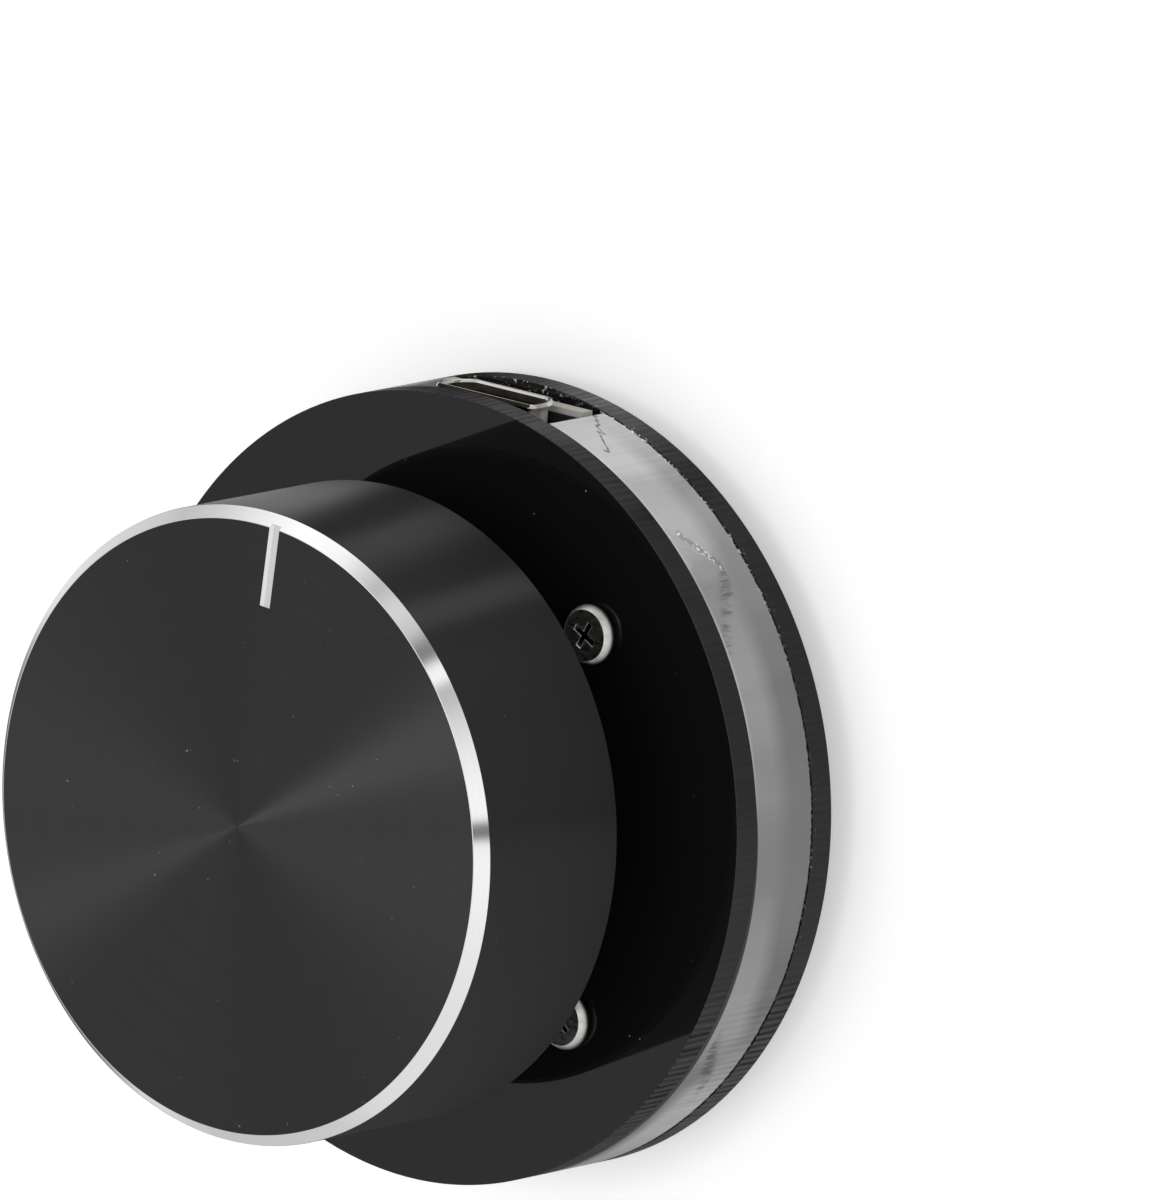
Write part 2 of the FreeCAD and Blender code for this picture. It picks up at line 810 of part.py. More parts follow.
def make_detent_spring():
    """The ring spring that gives the dial its clicks."""
    body = new_body("detent_spring")
    sketch = new_sketch(body, "XY_Plane")
    draw_circle(sketch, size.rotor_well_dia / 2 - size.spring_edge_clear)
    draw_circle(sketch, size.spring_hole_dia / 2)
    pad(body, sketch, size.spring_thick)
    seat(body, up=switch_top + rotor_well_deep() - size.spring_thick)


def make_encoder_cover():
    """The steel strap over the housing, with an arm down each side into the board."""
    body = new_body("encoder_cover")
    half = case_half + size.arm_clear
    outer = half + size.cover_thick
    arm_long = size.housing_thick + size.switch_thick + size.board_thick + size.pin_reach
    top = new_sketch(body, "XY_Plane")
    draw_rectangle(top, -outer, outer, -case_half, case_half)
    draw_circle(top, size.bushing_dia / 2 + size.bushing_hole_clear)
    pad(body, top, size.cover_thick)
    arms = new_sketch(body, "XY_Plane", lift=-arm_long)
    reach = size.arm_wide / 2
    draw_rectangle(arms, half, outer, -reach, reach)
    draw_rectangle(arms, -outer, -half, -reach, reach)
    pad(body, arms, arm_long)
    seat(body, up=housing_top)


def make_encoder_bushing():
    body = new_body("encoder_bushing")
    bore = shaft_radius + size.running_clear
    radius = size.bushing_dia / 2
    flange = size.flange_dia / 2
    rise = size.cover_thick + size.bushing_rise
    sketch = new_sketch(body, "XZ_Plane")
    draw_outline(sketch, [
        (bore, -size.flange_thick), (flange, -size.flange_thick), (flange, NIL), (radius, NIL),
        (radius, rise - size.bushing_chamfer), (radius - size.bushing_chamfer, rise), (bore, rise),
    ])
    spin(body, sketch)
    seat(body, up=housing_top)


def make_encoder_pins():
    """Cranked pins from the switch case's two faces down through the board."""
    pins = []
    for across, along in pin_places():
        left = across - size.pin_wide / 2
        side = 1 if along.value > 0 else -1
        outer = pin_row + size.pin_thick / 2
        near, far = sorted((case_half * side, outer * side), key=lambda place: place.value)
        shelf = block((left, near, board_top + size.pin_lift), (size.pin_wide, far - near, size.pin_thick))
        low = board_floor - size.pin_reach
        post_side = along - size.pin_thick / 2
        post = block((left, post_side, low),
                     (size.pin_wide, size.pin_thick, board_top + size.pin_lift + size.pin_thick - low))
        pins.append(join(shelf, post))
    gather("encoder_pins", pins)


def rotor_floor():
    return switch_top + size.finger_thick + size.rotor_gap


def make_encoder_rotor():
    """The disc that turns with the shaft over the wiper fingers."""
    body = new_body("encoder_rotor")
    bore = size.drive_dia / 2 + size.running_clear
    hub_top = shaft_levels()[1] - size.press_travel - size.shoulder_clear - rotor_floor()
    sketch = new_sketch(body, "XZ_Plane")
    draw_outline(sketch, [
        (bore, NIL), (size.rotor_dia / 2, NIL), (size.rotor_dia / 2, size.rotor_thick),
        (size.rotor_hub_dia / 2, size.rotor_thick), (size.rotor_hub_dia / 2, hub_top),
        (bore, hub_top),
    ])
    spin(body, sketch)
    seat(body, up=rotor_floor())


def shaft_levels():
    """Heights on the shaft: its tip, its shoulder, its clip and its top."""
    tip = board_top + size.switch_floor + dome_rise() + size.tip_gap
    clip_floor = housing_top - size.flange_thick - size.clip_gap - size.clip_thick
    shoulder = clip_floor - size.shoulder_thick
    top = knob_floor + bore_top - size.bore_end_gap
    return tip, shoulder, clip_floor, top


def make_knob_shaft():
    body = new_body("knob_shaft")
    tip, shoulder, clip_floor, top = shaft_levels()
    total = top - tip
    drive = size.drive_dia / 2
    groove = size.clip_groove_dia / 2
    groove_low = clip_floor - tip
    groove_high = groove_low + size.clip_thick
    sketch = new_sketch(body, "XZ_Plane")
    draw_outline(sketch, [
        (NIL, NIL), (size.tip_dia / 2, NIL), (size.tip_dia / 2, size.tip_long),
        (drive, size.tip_long), (drive, shoulder - tip), (shaft_radius, shoulder - tip),
        (shaft_radius, groove_low), (groove, groove_low), (groove, groove_high),
        (shaft_radius, groove_high), (shaft_radius, total - size.shaft_chamfer),
        (shaft_radius - size.shaft_chamfer, total), (NIL, total),
    ])
    spin(body, sketch)
    flat = new_sketch(body, "XY_Plane", lift=total)
    edge = shaft_radius - size.shaft_flat_deep
    past = shaft_radius + size.overrun
    draw_rectangle(flat, -past, past, -past, -edge)
    pocket(body, flat, size.shaft_flat_long)
    seat(body, up=tip, turn=-size.knob_angle)


def make_shaft_clip():
    """The open ring in the shaft's groove that keeps it from lifting out."""
    body = new_body("shaft_clip")
    clip_floor = shaft_levels()[2]
    sketch = new_sketch(body, "XY_Plane")
    draw_circle(sketch, size.clip_dia / 2)
    draw_circle(sketch, size.clip_groove_dia / 2 + size.insert_clear)
    pad(body, sketch, size.clip_thick)
    mouth = new_sketch(body, "XY_Plane", lift=size.clip_thick)
    half = size.clip_mouth / 2
    draw_rectangle(mouth, -half, half, NIL, size.clip_dia)
    pocket(body, mouth, size.clip_thick + size.overrun)
    seat(body, up=clip_floor, turn=-size.knob_angle)


def make_knob_body():
    body = new_body("knob_body")
    radius = size.knob_dia / 2
    counter = size.counterbore_dia / 2
    bore = shaft_radius + size.running_clear
    sketch = new_sketch(body, "XZ_Plane")
    draw_outline(sketch, [
        (counter, NIL), (radius - size.knob_foot_chamfer, NIL), (radius, size.knob_foot_chamfer),
        (radius, size.knob_tall - size.knob_chamfer), (radius - size.knob_chamfer, size.knob_tall),
        (NIL, size.knob_tall), (NIL, bore_top), (bore, bore_top), (bore, size.counterbore_deep),
        (counter, size.counterbore_deep),
    ])
    spin(body, sketch)
    mark = new_sketch(body, "XY_Plane", lift=size.knob_tall)
    half = size.mark_wide / 2
    draw_rectangle(mark, -half, half, radius - size.mark_long, radius + size.overrun)
    pocket(body, mark, size.mark_deep)
    access = new_sketch(body, "XZ_Plane", lift=radius + size.overrun)
    draw_circle(access, size.set_screw_dia / 2 + size.insert_clear, along=set_screw_height)
    pocket(body, access, radius + size.overrun)
    seat(body, up=knob_floor, turn=-size.knob_angle)


def make_set_screw():
    """The headless screw that holds the knob on the flat of its shaft."""
    body = new_body("set_screw")
    inner = shaft_radius - size.shaft_flat_deep
    sketch = new_sketch(body, "XZ_Plane", lift=inner)
    draw_circle(sketch, size.set_screw_dia / 2, along=set_screw_height)
    pad(body, sketch, size.set_screw_long)
    socket = new_sketch(body, "XZ_Plane", lift=inner + size.set_screw_long)
    draw_hexagon(socket, size.set_socket_flats, along=set_screw_height)
    pocket(body, socket, size.set_socket_deep)
    seat(body, up=knob_floor, turn=-size.knob_angle)


def check_document():
    """Stop if any object failed to compute or any sub-part is empty or invalid."""
    for shape in doc.Objects:
        if "Invalid" in shape.State or "Error" in shape.State:
            raise RuntimeError("%s (%s) failed: %s" % (shape.Name, shape.Label, shape.State))
    for part in finished:
        if part.Shape.isNull() or not part.Shape.isValid() or not part.Shape.Solids:
            raise RuntimeError("%s has no valid solid" % part.Label)


make_base_plate()
make_spacer_ring()
make_top_plate()
make_rubber_feet()
make_plate_screws()
make_plate_nuts()
make_tape_strips()
make_circuit_board()
make_usb_shell()
make_usb_insulator()
make_usb_contacts()
make_controller_chip()
make_leds()
make_small_parts()
make_switch_case()
make_switch_dome()
make_wiper_fingers()
make_encoder_housing()
make_detent_spring()
make_encoder_cover()
make_encoder_bushing()
make_encoder_pins()
make_encoder_rotor()
make_knob_shaft()
make_shaft_clip()
make_knob_body()
make_set_screw()

doc.recompute()
check_document()
os.makedirs("parts", exist_ok=True)
for part in finished:
    part.Shape.exportStep("parts/%s.step" % part.Label)
    box = part.Shape.BoundBox
    print("%-16s solids %2d  volume %9.2f  z %6.2f to %6.2f"
          % (part.Label, len(part.Shape.Solids), part.Shape.Volume, box.ZMin, box.ZMax))
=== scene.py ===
import math

import bmesh
import bpy
from mathutils import Matrix, Vector


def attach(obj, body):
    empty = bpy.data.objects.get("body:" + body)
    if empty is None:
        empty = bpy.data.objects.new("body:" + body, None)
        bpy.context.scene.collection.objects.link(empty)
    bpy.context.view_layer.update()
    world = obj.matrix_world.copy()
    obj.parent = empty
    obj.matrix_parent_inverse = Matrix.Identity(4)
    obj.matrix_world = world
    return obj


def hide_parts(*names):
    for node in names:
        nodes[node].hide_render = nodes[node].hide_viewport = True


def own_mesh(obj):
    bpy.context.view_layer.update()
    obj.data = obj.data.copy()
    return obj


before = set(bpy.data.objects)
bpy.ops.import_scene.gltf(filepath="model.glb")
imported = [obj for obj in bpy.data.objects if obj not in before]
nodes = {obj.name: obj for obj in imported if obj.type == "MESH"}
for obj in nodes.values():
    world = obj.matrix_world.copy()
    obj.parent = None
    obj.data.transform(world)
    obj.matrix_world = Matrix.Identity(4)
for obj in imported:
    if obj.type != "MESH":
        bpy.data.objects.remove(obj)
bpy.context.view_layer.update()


# Rubber feet. Four small moulded bumpers of black rubber, round with a softened lower rim and a
# shallow dimple where each left its mould, stuck to the underside of the base plate.

MM = 0.001
RIM_STEPS = 256
FOOT_RADIUS = 4.0 * MM
FOOT_TALL = 2.4 * MM
FOOT_RING = 18.0 * MM
FOOT_ROUND = 0.6 * MM
FOOT_TOP_ROUND = 0.12 * MM
FOOT_DIMPLE = 0.2 * MM
DIMPLE_MARGIN = 1.4 * MM
DIMPLE_SLOPE = 0.5 * MM
FOOT_COUNT = 4


def take_piece(name):
    """Name the primitive that was just added and put its place into its mesh."""
    piece = bpy.context.active_object
    piece.name = name
    piece.data.name = name
    bpy.ops.object.transform_apply(location=True, rotation=True, scale=True)
    return piece


def let_go():
    bpy.ops.object.select_all(action="DESELECT")


def add_disc(name, radius, centre, steps=RIM_STEPS):
    """A filled flat disc that faces up, the start of a turned or cut round piece."""
    let_go()
    bpy.ops.mesh.primitive_circle_add(vertices=steps, radius=radius, fill_type="NGON", location=centre)
    return take_piece(name)


def add_rod(name, radius, depth, centre, steps=64, turn=(0, 0, 0)):
    let_go()
    bpy.ops.mesh.primitive_cylinder_add(
        vertices=steps, radius=radius, depth=depth, location=centre, rotation=turn)
    return take_piece(name)


def add_bar(name, extent, centre):
    let_go()
    bpy.ops.mesh.primitive_cube_add(size=1, location=centre, scale=extent)
    return take_piece(name)


def take_up(piece):
    """Make one piece the only one selected, and the active one."""
    let_go()
    piece.select_set(True)
    bpy.context.view_layer.objects.active = piece


def open_mesh(piece):
    """Go into edit mode on one piece with nothing selected."""
    take_up(piece)
    bpy.ops.object.mode_set(mode="EDIT")
    bpy.ops.mesh.select_all(action="DESELECT")


def choose_all():
    bpy.ops.mesh.select_all(action="SELECT")


def close_mesh():
    bpy.ops.object.mode_set(mode="OBJECT")


def face_outwards():
    bpy.ops.mesh.normals_make_consistent(inside=False)


def bevel(width, segments=2):
    bpy.ops.mesh.bevel(offset=width, segments=segments, affect="EDGES")


def inset(width):
    bpy.ops.mesh.inset(thickness=width, depth=0)


def lift(height):
    bpy.ops.transform.translate(value=(0, 0, height))


def pick(piece, kind, test):
    """Select only the faces, edges or verts of the open mesh that pass the test."""
    bpy.ops.mesh.select_mode(type={"faces": "FACE", "edges": "EDGE", "verts": "VERT"}[kind])
    bpy.ops.mesh.select_all(action="DESELECT")
    mesh = bmesh.from_edit_mesh(piece.data)
    for element in getattr(mesh, kind):
        if test(element):
            element.select_set(True)
    mesh.select_flush_mode()
    bmesh.update_edit_mesh(piece.data)


def extrude(shift):
    bpy.ops.mesh.extrude_region_move(
        TRANSFORM_OT_translate={"value": shift, "orient_type": "GLOBAL"})


def edge_height(edge):
    return (edge.verts[0].co.z + edge.verts[1].co.z) / 2


def is_level(edge):
    return abs(edge.verts[0].co.z - edge.verts[1].co.z) < 0.01 * MM


def near(value, target, slack=0.02 * MM):
    return abs(value - target) < slack


def pick_floor(piece, height):
    pick(piece, "faces", lambda face: near(face.calc_center_median().z, height))


def pick_ring(piece, height):
    pick(piece, "edges", lambda edge: is_level(edge) and near(edge_height(edge), height))


def finish_mesh(piece, smooth_degrees=12):
    """Leave edit mode with merged points, faces outwards and soft shading below an angle."""
    choose_all()
    bpy.ops.mesh.remove_doubles(threshold=0.001 * MM)
    face_outwards()
    close_mesh()
    bpy.ops.object.shade_smooth_by_angle(angle=math.radians(smooth_degrees))


def copy_turned(piece, name, degrees):
    """A copy with its own mesh, turned about the dial's axis."""
    twin = piece.copy()
    twin.data = piece.data.copy()
    twin.name = name
    twin.data.name = name
    twin.data.transform(Matrix.Rotation(math.radians(degrees), 4, "Z"))
    bpy.context.scene.collection.objects.link(twin)
    return twin


def new_finish(name):
    """A new material and its object coordinates."""
    material = bpy.data.materials.new(name)
    material.use_nodes = True
    return material, material.node_tree.nodes.new("ShaderNodeTexCoord").outputs["Object"]


def feed(socket, value):
    """Link a socket to a value that varies over the surface, or set it to a plain one."""
    if isinstance(value, bpy.types.NodeSocket):
        socket.id_data.links.new(value, socket)
    else:
        socket.default_value = value


def coat(material, **values):
    """Feed the shader's sockets; underscores stand for the spaces in their names."""
    for name, value in values.items():
        feed(material.node_tree.nodes["Principled BSDF"].inputs[name.replace("_", " ")], value)
    return material


def add_node(kind, inputs, **settings):
    """A node fed with the inputs, by socket name or number, beside whatever feeds it."""
    home = next(value.id_data for value in inputs.values() if isinstance(value, bpy.types.NodeSocket))
    node = home.nodes.new(kind)
    for name, setting in settings.items():
        setattr(node, name, setting)
    for name, value in inputs.items():
        if value is not None:
            feed(node.inputs[name], value)
    return node


def stretch(place, scale):
    """Coordinates scaled along each axis, which draws a pattern out along the small ones."""
    return add_node("ShaderNodeMapping", {"Vector": place, "Scale": scale}).outputs["Vector"]


def noise(place, scale, detail=2.0, roughness=0.5):
    inputs = {"Vector": place, "Scale": scale, "Detail": detail, "Roughness": roughness}
    return add_node("ShaderNodeTexNoise", inputs).outputs["Fac"]


def remap(value, low, high, to_low=0.0, to_high=1.0):
    """Stretch a value's range from low..high to to_low..to_high, cut off at the ends."""
    inputs = {"Value": value, "From Min": low, "From Max": high, "To Min": to_low, "To Max": to_high}
    return add_node("ShaderNodeMapRange", inputs).outputs["Result"]


def combine(operation, *values):
    """Arithmetic on values, some of which may be plain numbers."""
    return add_node("ShaderNodeMath", dict(enumerate(values)), operation=operation).outputs["Value"]


def times(first, second, *more):
    product = combine("MULTIPLY", first, second)
    return times(product, *more) if more else product


def plus(first, second):
    return combine("ADD", first, second)


def minus(first, second):
    return combine("SUBTRACT", first, second)


def larger(first, second):
    return combine("MAXIMUM", first, second)


def blend_colours(share, first, second):
    node = add_node("ShaderNodeMix", {"Factor": share}, data_type="RGBA")
    for name, value in (("A_Color", first), ("B_Color", second)):
        socket = next(entry for entry in node.inputs if entry.identifier == name)
        feed(socket, (*value, 1.0) if isinstance(value, tuple) else value)
    return next(entry for entry in node.outputs if entry.identifier == "Result_Color")


def bump(height, strength, distance, under=None):
    """Surface relief from a height; under is relief that it lies on."""
    inputs = {"Height": height, "Strength": strength, "Distance": distance, "Normal": under}
    return add_node("ShaderNodeBump", inputs).outputs["Normal"]


def vary(grain, low, high):
    """Spread a noise, which mostly keeps to the middle of its range, between low and high."""
    return remap(grain, 0.3, 0.7, low, high)


def foot_rubber():
    material, place = new_finish("foot_rubber")
    grain = noise(place, 2600, 3)
    dust = remap(noise(place, 420, 4), 0.55, 0.75)
    return coat(
        material,
        Base_Color=blend_colours(dust, (0.014, 0.014, 0.015), (0.045, 0.043, 0.041)),
        Roughness=vary(grain, 0.55, 0.8),
        Normal=bump(grain, 0.35, 0.03 * MM),
    )


foot = add_disc("foot_1", FOOT_RADIUS, (FOOT_RING, 0, 0), steps=72)
open_mesh(foot)
choose_all()
extrude((0, 0, FOOT_TALL))
pick_floor(foot, 0)
face_outwards()
pick_ring(foot, 0)
bevel(FOOT_ROUND, 6)
pick(foot, "faces", lambda face: near(face.calc_center_median().z, 0) and len(face.verts) > 4)
inset(DIMPLE_MARGIN)
inset(DIMPLE_SLOPE)
lift(FOOT_DIMPLE)
pick_ring(foot, FOOT_TALL)
bevel(FOOT_TOP_ROUND)
finish_mesh(foot, 40)
foot.data.materials.append(foot_rubber())
feet = [foot] + [copy_turned(foot, "foot_%d" % (step + 1), 360 / FOOT_COUNT * step)
                 for step in range(1, FOOT_COUNT)]
for piece in feet:
    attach(piece, "base")
    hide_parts("rubber_feet")


# Base plate. A disc of black acrylic sheet, cut out by laser, so its two faces are glossy and its
# edge is a duller band with fine upright stripes and a chipped upper rim. Its glitter is painted as
# pale specks on the rim and pale flecks on the face beside it.

PLATE_RADIUS = 25.0 * MM
BASE_FLOOR = 2.4 * MM
BASE_TOP = 4.2 * MM
SCREW_PLACE = 12.3 * MM
SCREW_HOLE_RADIUS = 1.15 * MM
CHIP_STEPS = 1024
CHIP_DEPTH = 0.07 * MM
CHIP_BAND = 0.03 * MM
BASE_ROUND = 0.05 * MM
SLOWED_BEAM = [
    (-180, 0.25), (180, 0.25), (-150, 0.2), (-110, 0.5), (-80, 0.25), (-52, 0.35), (-44, 1.0),
    (-26, 1.0), (-18, 0.12), (50, 0.08), (58, 0.35), (72, 0.3), (78, 0.6), (98, 0.7), (106, 0.3),
    (150, 0.6), (160, 0.2),
]
CUT_BLACK = (0.013, 0.013, 0.0135)
# Painted glints: by bearing and by distance from the axis, where pale flecks on the face stand in for light
# glinting off chips.
GLINT_BEARINGS = [(-180, 0.0), (180, 0.0), (60, 0.2), (76, 1.0), (108, 1.0), (120, 0.1)]
GLINT_RING = (23.2 * MM, 24.2 * MM)
STRIPE_TURNS = 5.0
# Painted glints: by bearing, how strongly pale specks along the cut rims stand in for light glinting off
# chips.
GLINT_RIM = [
    (-180, 0.15), (180, 0.15), (-60, 0.2), (20, 0.25), (45, 0.8), (80, 1.0), (110, 1.0), (130, 0.2),
]


def raise_disc(name, radius, low, high, steps):
    """A solid round blank between two heights, left open to be shaped."""
    piece = add_disc(name, radius, (0, 0, low), steps)
    open_mesh(piece)
    choose_all()
    extrude((0, 0, high - low))
    choose_all()
    face_outwards()
    return piece


def cut_away(piece, tool, operation="DIFFERENCE"):
    """Take one mesh out of another, or join or cross them, and remove the tool."""
    take_up(piece)
    modifier = piece.modifiers.new("cut", "BOOLEAN")
    modifier.operation = operation
    modifier.solver = "EXACT"
    modifier.object = tool
    bpy.ops.object.modifier_apply(modifier=modifier.name)
    bpy.data.objects.remove(tool)


def cut_screw_holes(piece, low, high):
    for across in (-SCREW_PLACE, SCREW_PLACE):
        for along in (-SCREW_PLACE, SCREW_PLACE):
            centre = (across, along, (low + high) / 2)
            cut_away(piece, add_rod("drill", SCREW_HOLE_RADIUS, (high - low) + 1 * MM, centre, steps=48))


def on_rim(point, radius=PLATE_RADIUS):
    return near(math.hypot(point.x, point.y), radius, 0.06 * MM)


def give_edge(piece, material, test):
    """Put a second finish on the faces that pass the test."""
    piece.data.materials.append(material)
    slot_number = len(piece.data.materials) - 1
    for face in piece.data.polygons:
        if test(face):
            face.material_index = slot_number


def colour_ramp(value, stops, low=-180, high=180):
    """Grey levels at given values between low and high, which are bearings unless told."""
    ramp = add_node("ShaderNodeValToRGB", {"Fac": remap(value, low, high)})
    entries = ramp.color_ramp.elements
    for index, (where, level) in enumerate(stops):
        entry = entries[index] if index < 2 else entries.new(1.0)
        entry.position = (where - low) / (high - low)
        entry.color = (level, level, level, 1)
    return ramp.outputs["Color"]


def split(place):
    return add_node("ShaderNodeSeparateXYZ", {"Vector": place}).outputs


def distance(across, along):
    return combine("SQRT", plus(combine("POWER", across, 2.0), combine("POWER", along, 2.0)))


def round_place(place):
    """Bearing in degrees, distance from the axis, and height of every point."""
    parts = split(place)
    bearing = combine("DEGREES", combine("ARCTAN2", parts["Y"], parts["X"]))
    return bearing, distance(parts["X"], parts["Y"]), parts["Z"]


def on_vectors(operation, *values):
    """Arithmetic on vectors; SCALE takes its number last."""
    sockets = (0, "Scale") if operation == "SCALE" else range(3)
    node = add_node("ShaderNodeVectorMath", dict(zip(sockets, values)), operation=operation)
    return node.outputs["Vector"]


def black_acrylic(name, slope=(0, 0, 0), glint_share=0.0):
    """The sheet's polished face, nearly a black mirror, a little bowed and dusty, and where asked with
    painted glints as pale flecks near the rim on some bearings.
    """
    material, place = new_finish(name)
    bearing, radius, _ = round_place(place)
    specks = remap(noise(place, 2300, 1), 0.79, 0.83)
    patches = remap(noise(place, 160, 2), 0.45, 0.65)
    # Painted glints: pale flecks near the rim, on some bearings only, stand in for light glinting off chips.
    glint_flakes = times(remap(noise(place, 4200, 2), 0.61, 0.67, 0.0, glint_share),
                   remap(noise(place, 420, 2), 0.4, 0.55, 0.1, 1.0),
                   colour_ramp(bearing, GLINT_BEARINGS),
                   remap(radius, *GLINT_RING))
    dust = larger(times(specks, patches), glint_flakes)
    ripple = bump(noise(place, 90, 1), 0.04, 0.02 * MM)
    return coat(
        material,
        Base_Color=blend_colours(dust, (0.006, 0.006, 0.0062), (0.5, 0.5, 0.5)),
        Roughness=remap(dust, 0.0, 1.0, 0.035, 0.6),
        IOR=1.49,
        Specular_IOR_Level=0.42,
        Normal=on_vectors("NORMALIZE", on_vectors("ADD", ripple, slope)),
    )


def black_acrylic_cut(name, seed, glitter=0.0, top=1.0):
    """The sheet's laser-cut edge, satin, with stripes across its thickness where the beam slowed, and where
    asked with painted glints as pale specks along its upper rim.
    """
    material, place = new_finish(name)
    bearing, _, height = round_place(place)
    place = add_node("ShaderNodeMapping", {"Vector": place, "Location": (seed, seed, seed)}).outputs["Vector"]
    fine = noise(stretch(place, (1, 1, 0.06)), 3400, 2, 0.6)
    coarse = noise(stretch(place, (1, 1, 0.08)), 1900, 1, 0.4)
    waves = noise(stretch(place, (1, 1, 0.1)), 420, 3)
    slowed = colour_ramp(bearing, SLOWED_BEAM)
    steps = times(plus(bearing, coarse), STRIPE_TURNS)
    stripes = plus(times(combine("SINE", steps), 0.55), remap(fine, 0.35, 0.65, -0.45, 0.45))
    relief = times(stripes, slowed)
    # Painted glints: pale specks near the upper rim, on some bearings only, stand in for light glinting off
    # the chipped edge.
    glint_specks = remap(noise(place, 4200, 2), 0.62, 0.68)
    clusters = remap(noise(place, 260, 2), 0.45, 0.6)
    glint_sides = colour_ramp(bearing, GLINT_RIM)
    chipped = remap(height, top - 0.5 * MM, top - 0.05 * MM)
    sparkle = times(glint_specks, clusters, glint_sides, glitter, chipped)
    level = plus(vary(waves, 0.8, 1.25), times(relief, 1.1))
    tone = on_vectors("SCALE", CUT_BLACK, larger(level, 0.1))
    return coat(
        material,
        Base_Color=blend_colours(sparkle, tone, (0.8, 0.8, 0.79)),
        Roughness=vary(waves, 0.32, 0.5),
        IOR=1.49,
        Specular_IOR_Level=remap(relief, -0.8, 0.8, 0.12, 0.8),
        Normal=bump(relief, 0.7, 0.03 * MM, bump(waves, 0.4, 0.06 * MM)),
    )


base_plate = raise_disc("base_disc", PLATE_RADIUS, BASE_FLOOR, BASE_TOP, CHIP_STEPS)
pick(base_plate, "edges", is_level)
bevel(BASE_ROUND)
close_mesh()
cut_screw_holes(base_plate, BASE_FLOOR, BASE_TOP)
open_mesh(base_plate)
pick(base_plate, "verts", lambda point: point.co.z > BASE_TOP - CHIP_BAND and on_rim(point.co))
bpy.ops.transform.vertex_random(offset=CHIP_DEPTH, uniform=0.6, seed=3)
mesh = bmesh.from_edit_mesh(base_plate.data)
for point in mesh.verts:
    point.co.z = min(point.co.z, BASE_TOP)
    if math.hypot(point.co.x, point.co.y) > PLATE_RADIUS:
        point.co.xy = point.co.xy.normalized() * PLATE_RADIUS
bmesh.update_edit_mesh(base_plate.data)
finish_mesh(base_plate)
base_plate.data.materials.append(black_acrylic("black_acrylic_base_face", glint_share=1.0))
give_edge(base_plate, black_acrylic_cut("black_acrylic_base_cut", 0.0, glitter=0.9, top=BASE_TOP),
          lambda face: on_rim(face.center, PLATE_RADIUS - 0.02 * MM) or 0.02 < abs(face.normal.z) < 0.98)
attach(base_plate, "base")
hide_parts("base_plate")


# Foam tape. Two strips of grey double-sided foam hold the circuit board on the base plate; they
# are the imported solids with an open-celled finish.

def plain_coat(name, first, second, scale, rough, metallic=0.0, relief=0.2, deep=0.02 * MM, detail=3, **more):
    """A two-toned finish with one grain; rough is its middle roughness, or the lowest and highest."""
    material, place = new_finish(name)
    grain = noise(place, scale, detail)
    low, high = rough if isinstance(rough, tuple) else (rough * 0.8, rough * 1.2)
    if relief:
        more["Normal"] = bump(grain, relief, deep)
    return coat(
        material,
        Base_Color=blend_colours(grain, first, second),
        Metallic=metallic,
        Roughness=vary(grain, low, high),
        **more,
    )


def dress(material, *names):
    """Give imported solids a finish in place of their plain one."""
    for name in names:
        slots = nodes[name].data.materials
        if len(slots) == 0:
            slots.append(material)
        for index in range(len(slots)):
            slots[index] = material


foam = plain_coat(
    "foam_tape_open", (0.11, 0.11, 0.11), (0.3, 0.3, 0.29), 5200, (0.92, 0.92), 0.0, 0.6, 0.05 * MM)
dress(foam, "tape_strips")


# Circuit board. Glass-fibre board with a dark lacquer on both faces and a raw, pale straw-coloured
# edge where it was cut; its tongue reaches out under the socket and is tinned beside it.

LACQUER = (0.012, 0.016, 0.014)
GLASS_EDGE = (0.62, 0.6, 0.54)
TINNED_PAD = (0.55, 0.54, 0.52)
TINNED_END = 24.05 * MM


def circuit_lacquer():
    material, place = new_finish("board_lacquer")
    normal = place.id_data.nodes.new("ShaderNodeNewGeometry").outputs["Normal"]
    level = remap(combine("ABSOLUTE", split(normal)["Z"]), 0.4, 0.6)
    tinned = remap(split(place)["Y"], TINNED_END - 0.06 * MM, TINNED_END)
    brick = {"Vector": place, "Scale": 520, "Mortar Size": 0.06}
    tracks = add_node("ShaderNodeTexBrick", brick).outputs["Fac"]
    fibres = noise(stretch(place, (1, 1, 6)), 1800, 3)
    lacquer = blend_colours(tracks, LACQUER, (0.022, 0.03, 0.026))
    lacquer = blend_colours(tinned, lacquer, TINNED_PAD)
    raw = blend_colours(fibres, GLASS_EDGE, (0.4, 0.38, 0.3))
    return coat(
        material,
        Base_Color=blend_colours(level, raw, lacquer),
        Roughness=remap(level, 0.0, 1.0, 0.6, 0.32),
        Normal=bump(tracks, 0.2, 0.03 * MM),
    )


dress(circuit_lacquer(), "circuit_board")


# Socket. A shell folded from nickel-plated steel sheet, narrow at the board and wide above, with a
# mouth that flares out; inside it a black moulding carries five gold-plated strips.

BOARD_TOP = 6.0 * MM
MOUTH = 24.9 * MM
PORT_BACK = 19.3 * MM
PORT_WIDE = 7.6 * MM
PORT_NARROW = 5.8 * MM
PORT_TALL = 2.6 * MM
PORT_KNEE = 1.6 * MM
PORT_WALL = 0.3 * MM
LIP_LONG = 0.55 * MM
LIP_PROUD = 0.3 * MM
LIP_LEAN = 0.25 * MM
SHINY_LIP = 0.2 * MM
LIP_EDGE = 0.1 * MM
LIP_STEPS = ((0.3, 0.08), (0.6, 0.33), (0.72, 0.5), (0.85, 0.7), (1.0, 1.0))
LOW_FOLD = 0.45 * MM
TOP_FOLD = 0.4 * MM
FOLD_STEPS = 5
SHEET_ROUND = 0.04 * MM


